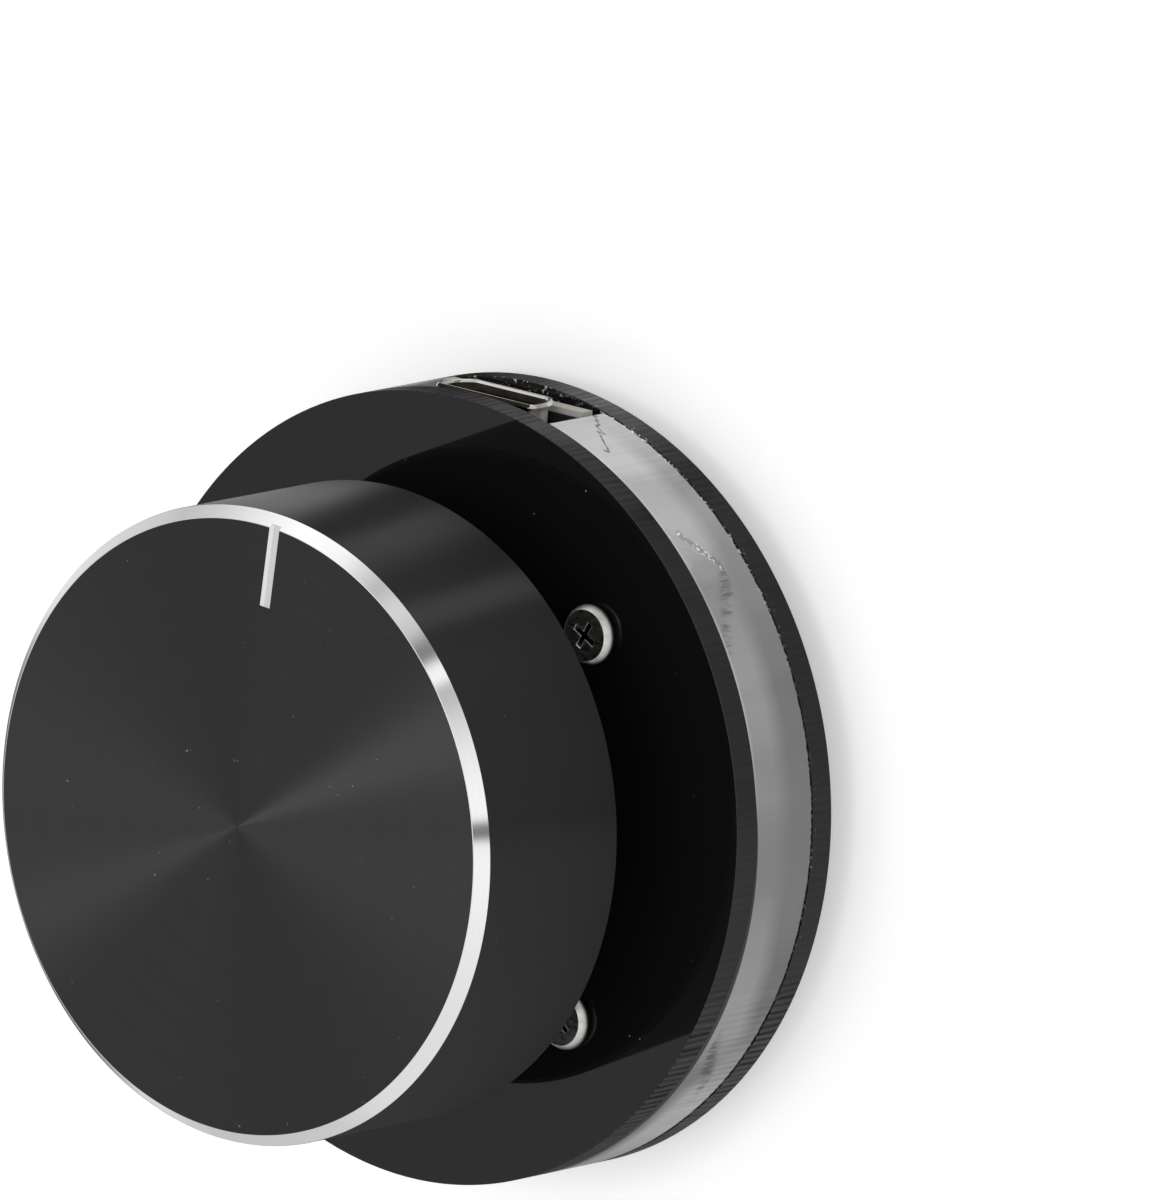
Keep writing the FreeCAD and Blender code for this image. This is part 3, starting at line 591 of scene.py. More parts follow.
def resize_about(factor, centre):
    bpy.ops.transform.resize(value=factor, center_override=centre)


def soften(piece, width, degrees):
    """Round the edges that are sharper than an angle."""
    modifier = piece.modifiers.new("soft", "BEVEL")
    modifier.width = width
    modifier.segments = 2
    modifier.limit_method = "ANGLE"
    modifier.angle_limit = math.radians(degrees)
    bpy.ops.object.modifier_apply(modifier="soft")


def nickel_sheet():
    """Bright plating over rolled steel, with drawing lines along the fold and small rubs."""
    material, place = new_finish("nickel_sheet")
    lines = noise(stretch(place, (1, 0.12, 1)), 5200, 2)
    rubs = noise(place, 900, 3)
    return coat(
        material,
        Base_Color=blend_colours(rubs, (0.62, 0.6, 0.56), (0.8, 0.78, 0.74)),
        Metallic=1.0,
        Roughness=vary(rubs, 0.16, 0.32),
        Normal=bump(lines, 0.15, 0.01 * MM),
    )


def painted_sheen_side():
    """The sheet's outer sides, pale and satin in streaks along the shell: a painted sheen that stands in for
    the bright reflection on these sides.
    """
    material, place = new_finish("painted_sheen_side")
    streaks = noise(stretch(place, (1, 0.04, 1)), 1500, 2)
    return coat(
        material,
        Base_Color=blend_colours(remap(streaks, 0.3, 0.7), (0.45, 0.43, 0.4), (0.95, 0.93, 0.9)),
        Metallic=0.3,
        Roughness=0.35,
        Normal=bump(streaks, 0.2, 0.02 * MM),
    )


# Painted shade: the inner walls and the near lip's inner slope, back from the bright mouth, get a near-black
# coat that stands in for the shade inside the socket.
painted_inner_shade = plain_coat(
    "painted_inner_shade", (0.006, 0.005, 0.004), (0.05, 0.042, 0.034), 1400, (0.25, 0.45), 1.0, 0.3, 0.03 * MM)
lip_start = MOUTH - LIP_LEAN - LIP_LONG
shell_middle = (lip_start + PORT_BACK) / 2
shell = add_bar("socket_shell", (PORT_WIDE, lip_start - PORT_BACK, PORT_TALL),
                (0, shell_middle, BOARD_TOP + PORT_TALL / 2))
open_mesh(shell)
choose_all()
bpy.ops.mesh.bisect(plane_co=(0, 0, BOARD_TOP + PORT_TALL - PORT_KNEE), plane_no=(0, 0, 1))
pick(shell, "faces", lambda face: face.normal.z < -0.9)
resize_about((PORT_NARROW / PORT_WIDE, 1, 1), (0, shell_middle, BOARD_TOP))


def runs_along(edge):
    return near(edge.verts[0].co.x, edge.verts[1].co.x) and near(edge.verts[0].co.z, edge.verts[1].co.z)


pick(shell, "edges", lambda edge: runs_along(edge) and not near(edge_height(edge), BOARD_TOP + PORT_TALL))
bevel(LOW_FOLD, FOLD_STEPS)
pick(shell, "edges", lambda edge: runs_along(edge) and near(edge_height(edge), BOARD_TOP + PORT_TALL)
     and near(abs(edge.verts[0].co.x), PORT_WIDE / 2))
bevel(TOP_FOLD, FOLD_STEPS)
pick(shell, "faces", lambda face: abs(face.normal.y) > 0.9)
bpy.ops.mesh.delete(type="ONLY_FACE")
port_heart = (0, MOUTH, BOARD_TOP + PORT_TALL / 2)
reached, flared = 0.0, 0.0
for share, flare in LIP_STEPS:
    pick(shell, "edges", lambda edge: edge.is_boundary and edge.verts[0].co.y > shell_middle)
    extrude((0, LIP_LONG * (share - reached), 0))
    factors = [(half + LIP_PROUD * flare) / (half + LIP_PROUD * flared)
               for half in (PORT_WIDE / 2, PORT_TALL / 2)]
    resize_about((factors[0], 1, factors[1]), port_heart)
    reached, flared = share, flare
finish_mesh(shell, 40)
open_mesh(shell)
choose_all()
bpy.ops.mesh.delete_loose()
choose_all()
bpy.ops.mesh.flip_normals()
close_mesh()
wall = shell.modifiers.new("wall", "SOLIDIFY")
wall.thickness = PORT_WALL
wall.offset = -1
wall.use_even_offset = True
bpy.ops.object.modifier_apply(modifier="wall")
soften(shell, SHEET_ROUND, 50)
bpy.ops.object.shade_smooth_by_angle(angle=math.radians(40))
shell.data.materials.append(nickel_sheet())
give_edge(shell, painted_inner_shade, lambda face: face.center.y < MOUTH - SHINY_LIP
          and face.normal.x * face.center.x / PORT_WIDE
          + face.normal.z * (face.center.z - port_heart[2]) / PORT_TALL < 0)
give_edge(shell, painted_inner_shade, lambda face: face.center.y < MOUTH - LIP_EDGE
          and face.center.z > port_heart[2] + 0.8 * MM and abs(face.normal.x) < 0.1 and face.normal.z > 0.3)
give_edge(shell, painted_sheen_side(), lambda face: face.center.y < MOUTH - LIP_EDGE
          and face.normal.x * face.center.x > 0.35 * abs(face.center.x))
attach(shell, "base")
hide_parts("usb_shell")

moulding = plain_coat(
    "black_moulding_grain", (0.012, 0.012, 0.013), (0.022, 0.022, 0.023), 4200, (0.38, 0.55), 0.0, 0.25)
gold = plain_coat(
    "gold_plating", (0.83, 0.6, 0.24), (0.95, 0.72, 0.34), 2600, (0.2, 0.36), 1.0, 0.0, detail=2)
dress(moulding, "usb_insulator")
dress(gold, "usb_contacts")


# Board components. The chip, its tinned legs, a metal-cased crystal, ceramic capacitors, film
# resistors and four lamps with clear fillings, all soldered on the board round the encoder.

LAMP_CASE = (0.72, 0.71, 0.67)
LAMP_FILLING = (0.86, 0.84, 0.7)


tin = plain_coat("tinned_metal", (0.66, 0.66, 0.65), (0.8, 0.8, 0.79), 3000, 0.3, 1.0)
dress(moulding, "controller_chip")
dress(tin, "chip_legs", "clock_crystal", "encoder_pins")
dress(plain_coat("lamp_case", LAMP_CASE, (0.8, 0.79, 0.75), 2500, 0.45), "led_cases")
dress(plain_coat("lamp_filling", LAMP_FILLING, (0.9, 0.88, 0.78), 1200, 0.12, Transmission_Weight=0.55),
      "led_lenses")
dress(plain_coat("ceramic_body", (0.42, 0.3, 0.19), (0.5, 0.37, 0.25), 2800, 0.55), "capacitors")
dress(plain_coat("film_body", (0.02, 0.02, 0.022), (0.04, 0.04, 0.042), 3600, 0.4), "resistors")


# Encoder. A bought turn-and-press encoder: a black moulded switch case and housing, a steel strap
# folded over them, spring parts inside, and a die-cast neck with a thread that the shaft runs in.

NECK_RADIUS = 3.5 * MM
NECK_BORE = 3.03 * MM
NECK_FLANGE_RADIUS = 3.9 * MM
NECK_LOW = 11.2 * MM
COVER_LOW = 12.0 * MM
COVER_HIGH = 12.45 * MM
NECK_HIGH = 17.45 * MM
THREAD_PITCH = 0.75 * MM
THREAD_DEEP = 0.28 * MM
DOME_RADIUS = 2.8 * MM
DOME_FLOOR = 6.8 * MM
DOME_RISE = 0.5 * MM
DOME_SHEET = 0.12 * MM
DOME_STEPS = 8


def draw_profile(name, points):
    """Draw an outline of (radius, height) points in the plane of X and Z, edge after edge."""
    let_go()
    bpy.ops.mesh.primitive_plane_add(size=1 * MM)
    piece = take_piece(name)
    open_mesh(piece)
    bpy.ops.mesh.select_mode(type="VERT")
    choose_all()
    bpy.ops.mesh.merge(type="CENTER")
    choose_all()
    bpy.ops.transform.translate(value=(points[0][0], 0, points[0][1]))
    for last, point in zip(points, points[1:]):
        bpy.ops.mesh.extrude_vertices_move(
            TRANSFORM_OT_translate={"value": (point[0] - last[0], 0, point[1] - last[1])})
    return piece


def turn_piece(name, points, centre=(0, 0, 0), steps=96, smooth_degrees=30):
    """A lathe-turned piece from a closed outline of (radius, height) points."""
    piece = draw_profile(name, [(centre[0] + radius, height) for radius, height in points])
    choose_all()
    bpy.ops.transform.translate(value=(0, centre[1], 0))
    bpy.ops.mesh.spin(steps=steps, angle=math.tau, center=centre, axis=(0, 0, 1), dupli=False)
    finish_mesh(piece, smooth_degrees)
    return piece


def thread_outline(radius, low, high, pitch, depth):
    """Crest and root points up the side of a threaded neck."""
    points = []
    turns = int((high - low) / pitch)
    for turn in range(turns):
        start = low + pitch * turn
        points += [(radius, start), (radius, start + pitch * 0.2),
                   (radius - depth, start + pitch * 0.55), (radius - depth, start + pitch * 0.65)]
    return points + [(radius, low + pitch * turns), (radius, high)]


encoder_body = plain_coat("encoder_moulding", (0.016, 0.016, 0.017), (0.03, 0.03, 0.031), 3800, 0.45)
dress(encoder_body, "switch_case", "encoder_housing")
dress(moulding, "encoder_rotor")
spring = plain_coat("spring_metal", (0.6, 0.57, 0.5), (0.74, 0.7, 0.62), 2400, 0.3, 1.0)
dress(spring, "wiper_fingers", "detent_spring", "shaft_clip")
dome_arc = [(DOME_RADIUS * step / DOME_STEPS, DOME_FLOOR + DOME_RISE * (1 - (step / DOME_STEPS) ** 2))
            for step in range(DOME_STEPS + 1)]
snap_dome = turn_piece("snap_dome", dome_arc + [(out, height + DOME_SHEET) for out, height in dome_arc[::-1]])
snap_dome.data.materials.append(spring)
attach(snap_dome, "base")
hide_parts("switch_dome")
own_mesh(snap_dome)
strap = plain_coat("strap_steel", (0.5, 0.5, 0.49), (0.66, 0.66, 0.64), 1500, 0.32, 1.0)
dress(strap, "encoder_cover")

neck_side = thread_outline(NECK_RADIUS, COVER_HIGH + 0.3 * MM, NECK_HIGH - 0.35 * MM,
                           THREAD_PITCH, THREAD_DEEP)
neck = turn_piece("encoder_neck", [
    (NECK_BORE, NECK_LOW), (NECK_FLANGE_RADIUS, NECK_LOW), (NECK_FLANGE_RADIUS, COVER_LOW),
    (NECK_RADIUS, COVER_LOW), *neck_side,
    (NECK_RADIUS - 0.3 * MM, NECK_HIGH), (NECK_BORE, NECK_HIGH), (NECK_BORE, NECK_LOW),
], steps=128)
neck.data.materials.append(
    plain_coat("cast_neck", (0.52, 0.52, 0.5), (0.64, 0.63, 0.6), 2200, 0.34, 1.0, 0.3))
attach(neck, "base")
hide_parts("encoder_bushing")


# Spacer. A ring-shaped piece of clear acrylic between the two black discs, laser-cut inside and out,
# so light scatters in its hazy cut edges; its gap at the back lets the socket through. That scattered
# light, the screws seen through the edge and the shade at its seams are painted into the edge's colour.

SPACER_LOW = 4.2 * MM
SPACER_TOP = 9.6 * MM
# Painted shade: by bearing, in mm, how far the dark band at the lower seam and the one under the top plate
# reach into the edge.
LOW_SEAM_SHADE = [
    (-180, 0.1), (180, 0.1), (-75, 0.1), (-62, 0.34), (-50, 0.38), (-38, 0.24), (-20, 0.17), (20, 0.13),
    (45, 0.16), (80, 0.18), (110, 0.14),
]
HIGH_SEAM_SHADE = [
    (-180, 0.04), (180, 0.04), (-80, 0.3), (-62, 0.66), (-45, 0.6), (-25, 0.46), (-10, 0.34), (2, 0.2),
    (12, 0.0), (60, 0.0), (80, 0.04),
]
# Painted highlight: by bearing, a bright hairline just under the top plate.
HAIRLINE_HIGHLIGHT = [(-180, 0.0), (180, 0.0), (4, 0.0), (16, 0.7), (36, 0.7), (44, 0.2), (60, 0.0)]
WINDOW_WIDE = 21.0 * MM
WINDOW_LONG = 35.0 * MM
GAP_WIDE = 12.2 * MM
GAP_LONG = 12.0 * MM
GAP_MIDDLE = 22.0 * MM
SPACER_ROUND = 0.05 * MM
# Painted light: by bearing, how bright the scattered light in the cut edge is painted above and below a
# boundary height, and that height as a share of the edge.
GLOW_ABOVE = [
    (-180, 0.5), (180, 0.5), (-130, 0.6), (-100, 0.4), (-70, 0.2), (-48, 0.22), (-42, 0.27), (-35, 0.27),
    (-30, 0.4), (-25, 0.46), (-12, 0.41), (-5, 0.33), (5, 0.34), (15, 0.41), (25, 0.5), (33, 0.48),
    (37, 0.45), (45, 0.68), (55, 0.74), (60, 0.66), (65, 0.9), (70, 0.86), (78, 0.76), (104, 0.6),
    (130, 0.6),
]
GLOW_BELOW = [
    (-180, 0.4), (180, 0.4), (-120, 0.45), (-70, 0.5), (-46, 0.62), (-36, 0.42), (-25, 0.23),
    (-12, 0.28), (0, 0.28), (22, 0.28), (32, 0.34), (40, 0.4), (46, 0.48), (56, 0.54), (60, 0.46),
    (66, 0.62), (72, 0.72), (78, 0.78), (104, 0.5), (140, 0.45),
]
GLOW_LIMIT = [
    (-180, 0.5), (180, 0.5), (-70, 0.76), (-42, 0.74), (-34, 0.45), (-28, 0.35), (-12, 0.55),
    (36, 0.5), (44, 0.4), (80, 0.3),
]
# Painted shade: spots and slanting streaks where the screws show dark through the hazy edge; CRACK is a dark
# crack line in the sheet.
SCREW_SHADES = [
    (41.5, 8.1, 6.0, 1.5, 0.85, 0.22), (138.0, 7.8, 5.0, 1.5, 0.6, 0.4), (-131.0, 7.2, 5.5, 1.3, 0.2, 0.45),
]
SCREW_STREAK = ((-39.5, 6.2), (-29.5, 8.5))
SCREW_V_LEFT = ((43.0, 6.6), (32.5, 9.3))
SCREW_V_RIGHT = ((43.0, 6.6), (49.0, 8.6))
CRACK = ((76.0, 5.3), (67.5, 8.3))
SCRATCH_END = 0.2


def slanting_streak(bearing, height, ends, half, wander):
    """A slanting mark between two (bearing, height) ends on the rim, strongest along its middle."""
    (low_bearing, low), (high_bearing, high) = ends
    line = remap(height, low * MM, high * MM, low_bearing, high_bearing)
    away = minus(plus(bearing, wander), line)
    across = remap(combine("ABSOLUTE", away), 0.3 * half, half, 1.0, 0.0)
    return times(across, remap(height, (low - SCRATCH_END) * MM, low * MM),
                 remap(height, high * MM, (high + SCRATCH_END) * MM, 1.0, 0.0))


def screw_spot(bearing, height, shape, uneven):
    """An uneven dark spot painted on the rim, the shade of a screw seen through it: bearing, height, half
    width in degrees, half height, taper, depth.
    """
    at_bearing, at_height, wide, tall, taper, depth = shape
    up = combine("DIVIDE", minus(height, at_height * MM), tall * MM)
    spread = plus(times(up, taper), 1.0)
    half = times(larger(spread, 0.12), wide)
    across = combine("DIVIDE", minus(bearing, at_bearing), half)
    reach = larger(combine("ABSOLUTE", across), combine("ABSOLUTE", up))
    return remap(plus(reach, uneven), 0.8, 1.05, depth, 0.0)


def hazy_cut():
    """Clear acrylic under a fine laser-cut skin; the light from inside that fills it unevenly round the rim
    is painted into its colour.
    """
    material, place = new_finish("clear_acrylic_cut")
    bearing, _, height = round_place(place)
    clouds = noise(stretch(place, (1, 1, 0.5)), 150, 3)
    wander = remap(clouds, 0.2, 0.8, -6.0, 6.0)
    wandered = plus(bearing, wander)
    # Painted light: the light scattered inside the edge is painted into its colour by bearing and height.
    upper = colour_ramp(wandered, GLOW_ABOVE)
    lower = colour_ramp(wandered, GLOW_BELOW)
    middle = colour_ramp(wandered, GLOW_LIMIT)
    above = minus(remap(height, SPACER_LOW, SPACER_TOP), middle)
    painted_glow = blend_colours(remap(above, -0.16, 0.12), lower, upper)
    slowed = times(colour_ramp(bearing, SLOWED_BEAM), remap(height, SPACER_LOW, SPACER_TOP, 1.6, 0.3))
    fine = noise(stretch(place, (1, 1, 0.05)), 2600, 2)
    soft = noise(stretch(place, (1, 1, 0.03)), 620, 2)
    steps = times(plus(bearing, soft), STRIPE_TURNS)
    stripes = plus(times(combine("SINE", steps), 0.3), remap(plus(fine, soft), 0.7, 1.3, -0.6, 0.6))
    streaks = noise(stretch(place, (1, 1, 0.22)), 1300, 3, 0.7)
    uneven = remap(streaks, 0.25, 0.75, -0.45, 0.45)
    # Painted shade: the screws seen through the haze darken the edge in spots and streaks; the crack line
    # darkens it as well.
    mark = 0.0
    for shape in SCREW_SHADES:
        mark = plus(screw_spot(bearing, height, shape, uneven), mark)
    mark = times(mark, remap(streaks, 0.38, 0.56, 0.25, 1.0))
    glint_grain = remap(noise(place, 3800, 2), 0.56, 0.62)
    upright = noise(stretch(place, (1, 1, 0.14)), 3400, 3, 0.7)
    sway = vary(upright, -1.6, 1.6)
    zigzag = vary(noise(stretch(place, (0.1, 0.1, 1)), 1500, 2, 0.7), -1.1, 1.1)
    screw_v_edge = slanting_streak(bearing, height, SCREW_V_RIGHT, 1.3, zigzag)
    screw_streaks = larger(slanting_streak(bearing, height, SCREW_STREAK, 3.2, sway),
                     times(slanting_streak(bearing, height, SCREW_V_LEFT, 2.8, sway), 0.8))
    screw_streaks = times(screw_streaks, remap(upright, 0.42, 0.56, 0.2, 1.0))
    crack = slanting_streak(bearing, height, CRACK, 0.42, zigzag)
    for scar, share in ((screw_streaks, 0.85), (screw_v_edge, 0.5), (crack, 1.2)):
        mark = larger(mark, times(scar, share))
    # Painted glints: bright specks along the lower seam on some bearings, and along one side of the V where a
    # screw shows through.
    low_edge = remap(height, SPACER_LOW + 0.1 * MM, SPACER_LOW + 0.35 * MM, 1.0, 0.0)
    at_seam = times(colour_ramp(bearing, GLINT_RIM), low_edge)
    lit = times(glint_grain, larger(screw_v_edge, at_seam))
    shade = plus(vary(clouds, 0.93, 1.07), times(stripes, times(slowed, 0.22)))
    shade = times(shade, remap(mark, 0.0, 1.0, 1.0, 0.3))
    # Painted shade: a dark band with an uneven edge along the lower seam, where the edge also loses its gloss
    # and clearness, and a second dark band under the top plate.
    teeth = vary(noise(stretch(place, (1, 1, 0.3)), 3600, 2), -0.035 * MM, 0.035 * MM)
    low_seam_shade = times(colour_ramp(bearing, LOW_SEAM_SHADE), MM)
    over = plus(minus(height, low_seam_shade), teeth)
    open_side = remap(over, SPACER_LOW, SPACER_LOW + 0.06 * MM)
    shade = times(shade, larger(open_side, 0.03))
    high_seam_shade = times(colour_ramp(bearing, HIGH_SEAM_SHADE), MM)
    under = plus(height, high_seam_shade)
    shade = times(shade, remap(under, SPACER_TOP, SPACER_TOP + 0.08 * MM, 1.0, 0.1))
    # Painted highlight: a bright hairline just under the top plate, on one side.
    hairline = times(colour_ramp(bearing, HAIRLINE_HIGHLIGHT),
                     remap(height, SPACER_TOP - 0.2 * MM, SPACER_TOP - 0.12 * MM, 0.0, 0.45))
    shade = plus(plus(shade, hairline), times(lit, 1.6))
    return coat(
        material,
        Base_Color=on_vectors("SCALE", painted_glow, shade),
        Transmission_Weight=times(open_side, 0.15),
        Specular_IOR_Level=times(open_side, 0.5),
        Roughness=vary(fine, 0.3, 0.45),
        IOR=1.49,
        Normal=bump(stripes, 0.25, 0.02 * MM, bump(clouds, 0.1, 0.2 * MM)),
    )


def clear_face():
    """The sheet's own polished face, clear and smooth."""
    material, place = new_finish("clear_acrylic_face")
    haze = noise(place, 300, 2)
    return coat(
        material,
        Base_Color=blend_colours(haze, (0.94, 0.95, 0.95), (0.98, 0.98, 0.98)),
        Transmission_Weight=1.0,
        Roughness=vary(haze, 0.02, 0.06),
        IOR=1.49,
    )


spacer = raise_disc("spacer", PLATE_RADIUS, SPACER_LOW, SPACER_TOP, CHIP_STEPS)
close_mesh()
spacer_middle = (SPACER_LOW + SPACER_TOP) / 2
spacer_reach = (SPACER_TOP - SPACER_LOW) + 1 * MM
cut_away(spacer, add_bar("window", (WINDOW_WIDE, WINDOW_LONG, spacer_reach), (0, 0, spacer_middle)))
cut_away(spacer, add_bar("gap", (GAP_WIDE, GAP_LONG, spacer_reach), (0, GAP_MIDDLE, spacer_middle)))
cut_screw_holes(spacer, SPACER_LOW, SPACER_TOP)
soften(spacer, SPACER_ROUND, 60)
open_mesh(spacer)
finish_mesh(spacer)
spacer.data.materials.append(clear_face())
give_edge(spacer, hazy_cut(), lambda face: abs(face.normal.z) < 0.9)
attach(spacer, "base")
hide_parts("spacer_ring")


# Top plate. The second black acrylic disc, polished like a dark mirror, with a round eye for the
# encoder and four holes for the screws that clamp the stack.

TOP_LOW = 9.6 * MM
TOP_FACE = 11.45 * MM
EYE_RADIUS = 8.8 * MM
TOP_ROUND = 0.04 * MM
TOP_BOW = (0, -0.055, 0)

top_plate = raise_disc("top_disc", PLATE_RADIUS, TOP_LOW, TOP_FACE, CHIP_STEPS)
pick(top_plate, "edges", is_level)
bevel(TOP_ROUND)
close_mesh()
cut_away(top_plate, add_rod("eye", EYE_RADIUS, 4 * MM, (0, 0, TOP_FACE), steps=160))
cut_screw_holes(top_plate, TOP_LOW, TOP_FACE)
open_mesh(top_plate)
finish_mesh(top_plate)
top_plate.data.materials.append(black_acrylic("black_acrylic_top_face", TOP_BOW))
give_edge(top_plate, black_acrylic_cut("black_acrylic_top_cut", 0.4), lambda face: abs(face.normal.z) < 0.98)
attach(top_plate, "base")
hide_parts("top_plate")


# Plate screws and nuts. Four nickel-plated M2 screws with flat-topped pan heads and cross recesses
# go down through the stack; a hexagon nut under the base plate holds each.

HEAD_RADIUS = 1.9 * MM
HEAD_TALL = 0.9 * MM
CROWN = TOP_FACE + HEAD_TALL
HEAD_FLAT = 1.62 * MM
SHOULDER = 0.54 * MM
SHOULDER_SHARES = [
    (0.0, 0.02), (0.16, 0.12), (0.36, 0.27), (0.56, 0.43), (0.74, 0.6), (0.89, 0.78), (0.97, 0.91),
    (1.0, 1.0),
]
SHANK_RADIUS = 0.98 * MM
SHANK_LOW = 0.5 * MM
SCREW_PITCH = 0.4 * MM
GROOVE_DEEP = 0.16 * MM
TAP_ROOM = 0.03 * MM
NUT_FLATS = 4.0 * MM
NUT_CORNER = NUT_FLATS / math.sqrt(3)
NUT_LOW = 0.8 * MM
NUT_CHAMFER = 0.3 * MM
CROSS_REACH = 1.2 * MM
CROSS_TURNS = (28, 33, -23, 12)
CROSS_HALF = 0.24 * MM
CROSS_DEEP = 0.6 * MM
CROSS_ROUND = 0.05 * MM
SCREW_COUNT = 4


def screw_nickel():
    """Bright plating with the forming marks of a cold-headed screw, darkened by painted shade at the foot of
    the head and inside the cross recess.
    """
    material, place = new_finish("screw_nickel")
    marks = noise(place, 1500, 4)
    scratches = noise(stretch(place, (0.3, 1, 1)), 5200, 3)
    spot = split(place)
    # Painted shade: dark near the plate at the foot of the head and inside the cross recess.
    above_shade = remap(spot["Z"], TOP_FACE + 0.24 * MM, TOP_FACE + 0.42 * MM)
    bright = blend_colours(marks, (0.64, 0.62, 0.59), (0.82, 0.8, 0.77))
    from_axis = distance(*[minus(combine("ABSOLUTE", spot[way]), SCREW_PLACE) for way in ("X", "Y")])
    in_cross = times(remap(from_axis, CROSS_REACH + 0.05 * MM, CROSS_REACH + 0.15 * MM, 1.0, 0.0),
                     remap(spot["Z"], CROWN - 0.1 * MM, CROWN - 0.05 * MM, 1.0, 0.0))
    out_of_shade = minus(above_shade, times(in_cross, 0.85))
    return coat(
        material,
        Base_Color=blend_colours(out_of_shade, (0.04, 0.038, 0.036), bright),
        Metallic=1.0,
        Roughness=vary(scratches, 0.24, 0.4),
        Normal=bump(scratches, 0.25, 0.008 * MM),
    )


def head_outline():
    """From the middle of the head's flat top down its rounded shoulder and the threaded shank."""
    points = [(0.0, CROWN), (HEAD_FLAT - 0.04 * MM, CROWN)]
    for out, down in SHOULDER_SHARES:
        points.append((HEAD_FLAT + (HEAD_RADIUS - HEAD_FLAT) * out, CROWN - SHOULDER * down))
    points += [(HEAD_RADIUS, TOP_FACE + 0.08 * MM), (HEAD_RADIUS - 0.06 * MM, TOP_FACE),
               (SHANK_RADIUS, TOP_FACE)]
    side = thread_outline(SHANK_RADIUS, SHANK_LOW + 0.2 * MM, TOP_FACE - 0.6 * MM, SCREW_PITCH, GROOVE_DEEP)
    return points + side[::-1] + [(SHANK_RADIUS - 0.2 * MM, SHANK_LOW), (0.0, SHANK_LOW)]


def cross_bit(name, centre):
    """The tip of a cross driver: two tapered wings, to be cut out of a head."""
    bit = add_bar(name, (CROSS_REACH * 2, CROSS_HALF * 2, CROSS_DEEP * 2), (0, 0, 0))
    second = add_bar(name + "_wing", (CROSS_HALF * 2, CROSS_REACH * 2, CROSS_DEEP * 2), (0, 0, 0))
    cut_away(bit, second, "UNION")
    open_mesh(bit)
    pick(bit, "verts", lambda point: point.co.z < 0)
    resize_about((0.5, 0.5, 1), (0, 0, -CROSS_DEEP))
    choose_all()
    bpy.ops.transform.translate(value=centre)
    close_mesh()
    return bit


screw_finish = screw_nickel()
screw_centre = (SCREW_PLACE, SCREW_PLACE, 0)
screw = turn_piece("screw_1", head_outline(), screw_centre, steps=64)
cut_away(screw, cross_bit("bit", (SCREW_PLACE, SCREW_PLACE, CROWN)))
open_mesh(screw)
pick(screw, "edges", lambda edge: near(edge.verts[0].co.z, CROWN) and near(edge.verts[1].co.z, CROWN)
     and math.hypot(edge.verts[0].co.x - SCREW_PLACE, edge.verts[0].co.y - SCREW_PLACE) < 1.4 * MM)
bevel(CROSS_ROUND)
finish_mesh(screw)
screw.data.materials.append(screw_finish)

nut = add_rod("nut_1", NUT_CORNER, BASE_FLOOR - NUT_LOW,
              (SCREW_PLACE, SCREW_PLACE, (BASE_FLOOR + NUT_LOW) / 2), steps=6,
              turn=(0, 0, math.radians(15)))
blank = turn_piece("blank", [
    (0.0, NUT_LOW), (NUT_FLATS / 2 * 0.96, NUT_LOW), (NUT_CORNER * 1.03, NUT_LOW + NUT_CHAMFER),
    (NUT_CORNER * 1.03, BASE_FLOOR - NUT_CHAMFER), (NUT_FLATS / 2 * 0.96, BASE_FLOOR),
    (0.0, BASE_FLOOR),
], screw_centre, steps=48)
cut_away(nut, blank, "INTERSECT")
cut_away(nut, add_rod("tap", SHANK_RADIUS + TAP_ROOM, 4 * MM, (SCREW_PLACE, SCREW_PLACE, NUT_LOW), steps=48))
open_mesh(nut)
finish_mesh(nut)
nut.data.materials.append(screw_finish)
for step in range(SCREW_COUNT):
    turn = 360 / SCREW_COUNT * step
    pieces = [screw, nut] if step == 0 else [copy_turned(screw, "screw_%d" % (step + 1), turn),
                                             copy_turned(nut, "nut_%d" % (step + 1), turn)]
    open_mesh(pieces[0])
    choose_all()
    turned = math.radians(turn)
    own_axis = (SCREW_PLACE * (math.cos(turned) - math.sin(turned)),
                SCREW_PLACE * (math.sin(turned) + math.cos(turned)), 0)
    bpy.ops.transform.rotate(value=math.radians(CROSS_TURNS[step]), orient_axis="Z", center_override=own_axis)
    close_mesh()
    for piece, node in zip(pieces, ("plate_screws", "plate_nuts")):
        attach(piece, "base")
        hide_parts(node)


# Shaft. Turned steel, nickel-plated, with a flat for the set screw; nearly all of it is hidden in
# the neck and the knob.

dress(plain_coat("shaft_plating", (0.6, 0.6, 0.59), (0.74, 0.74, 0.72), 1800, 0.26, 1.0), "knob_shaft")


# Knob. Turned from one aluminium bar and dyed black by anodising; the lathe left fine rings on its
# face and side. Its rim and its pointer line were cut afterwards, so they show bare bright metal.

KNOB_RADIUS = 20.05 * MM
KNOB_LOW = 16.85 * MM
KNOB_TOP = 29.85 * MM
KNOB_RIM = 0.75 * MM
KNOB_FOOT = 0.3 * MM
RIM_ROUND = 0.03 * MM
KNOB_STEPS = 512
COUNTERBORE_RADIUS = 7.5 * MM
COUNTERBORE_DEEP = 3.0 * MM
BORE_RADIUS = 3.03 * MM
BORE_DEEP = 8.0 * MM
MARK_INNER = 14.25 * MM
MARK_WIDE = 0.8 * MM
MARK_DEEP = 0.2 * MM
KNOB_TURN = -4.5
SET_SCREW_RADIUS = 1.53 * MM
SET_SCREW_HEIGHT = KNOB_LOW + 7.0 * MM


def assemble(first, second):
    return add_node("ShaderNodeCombineXYZ", {"X": first, "Y": second}).outputs["Vector"]


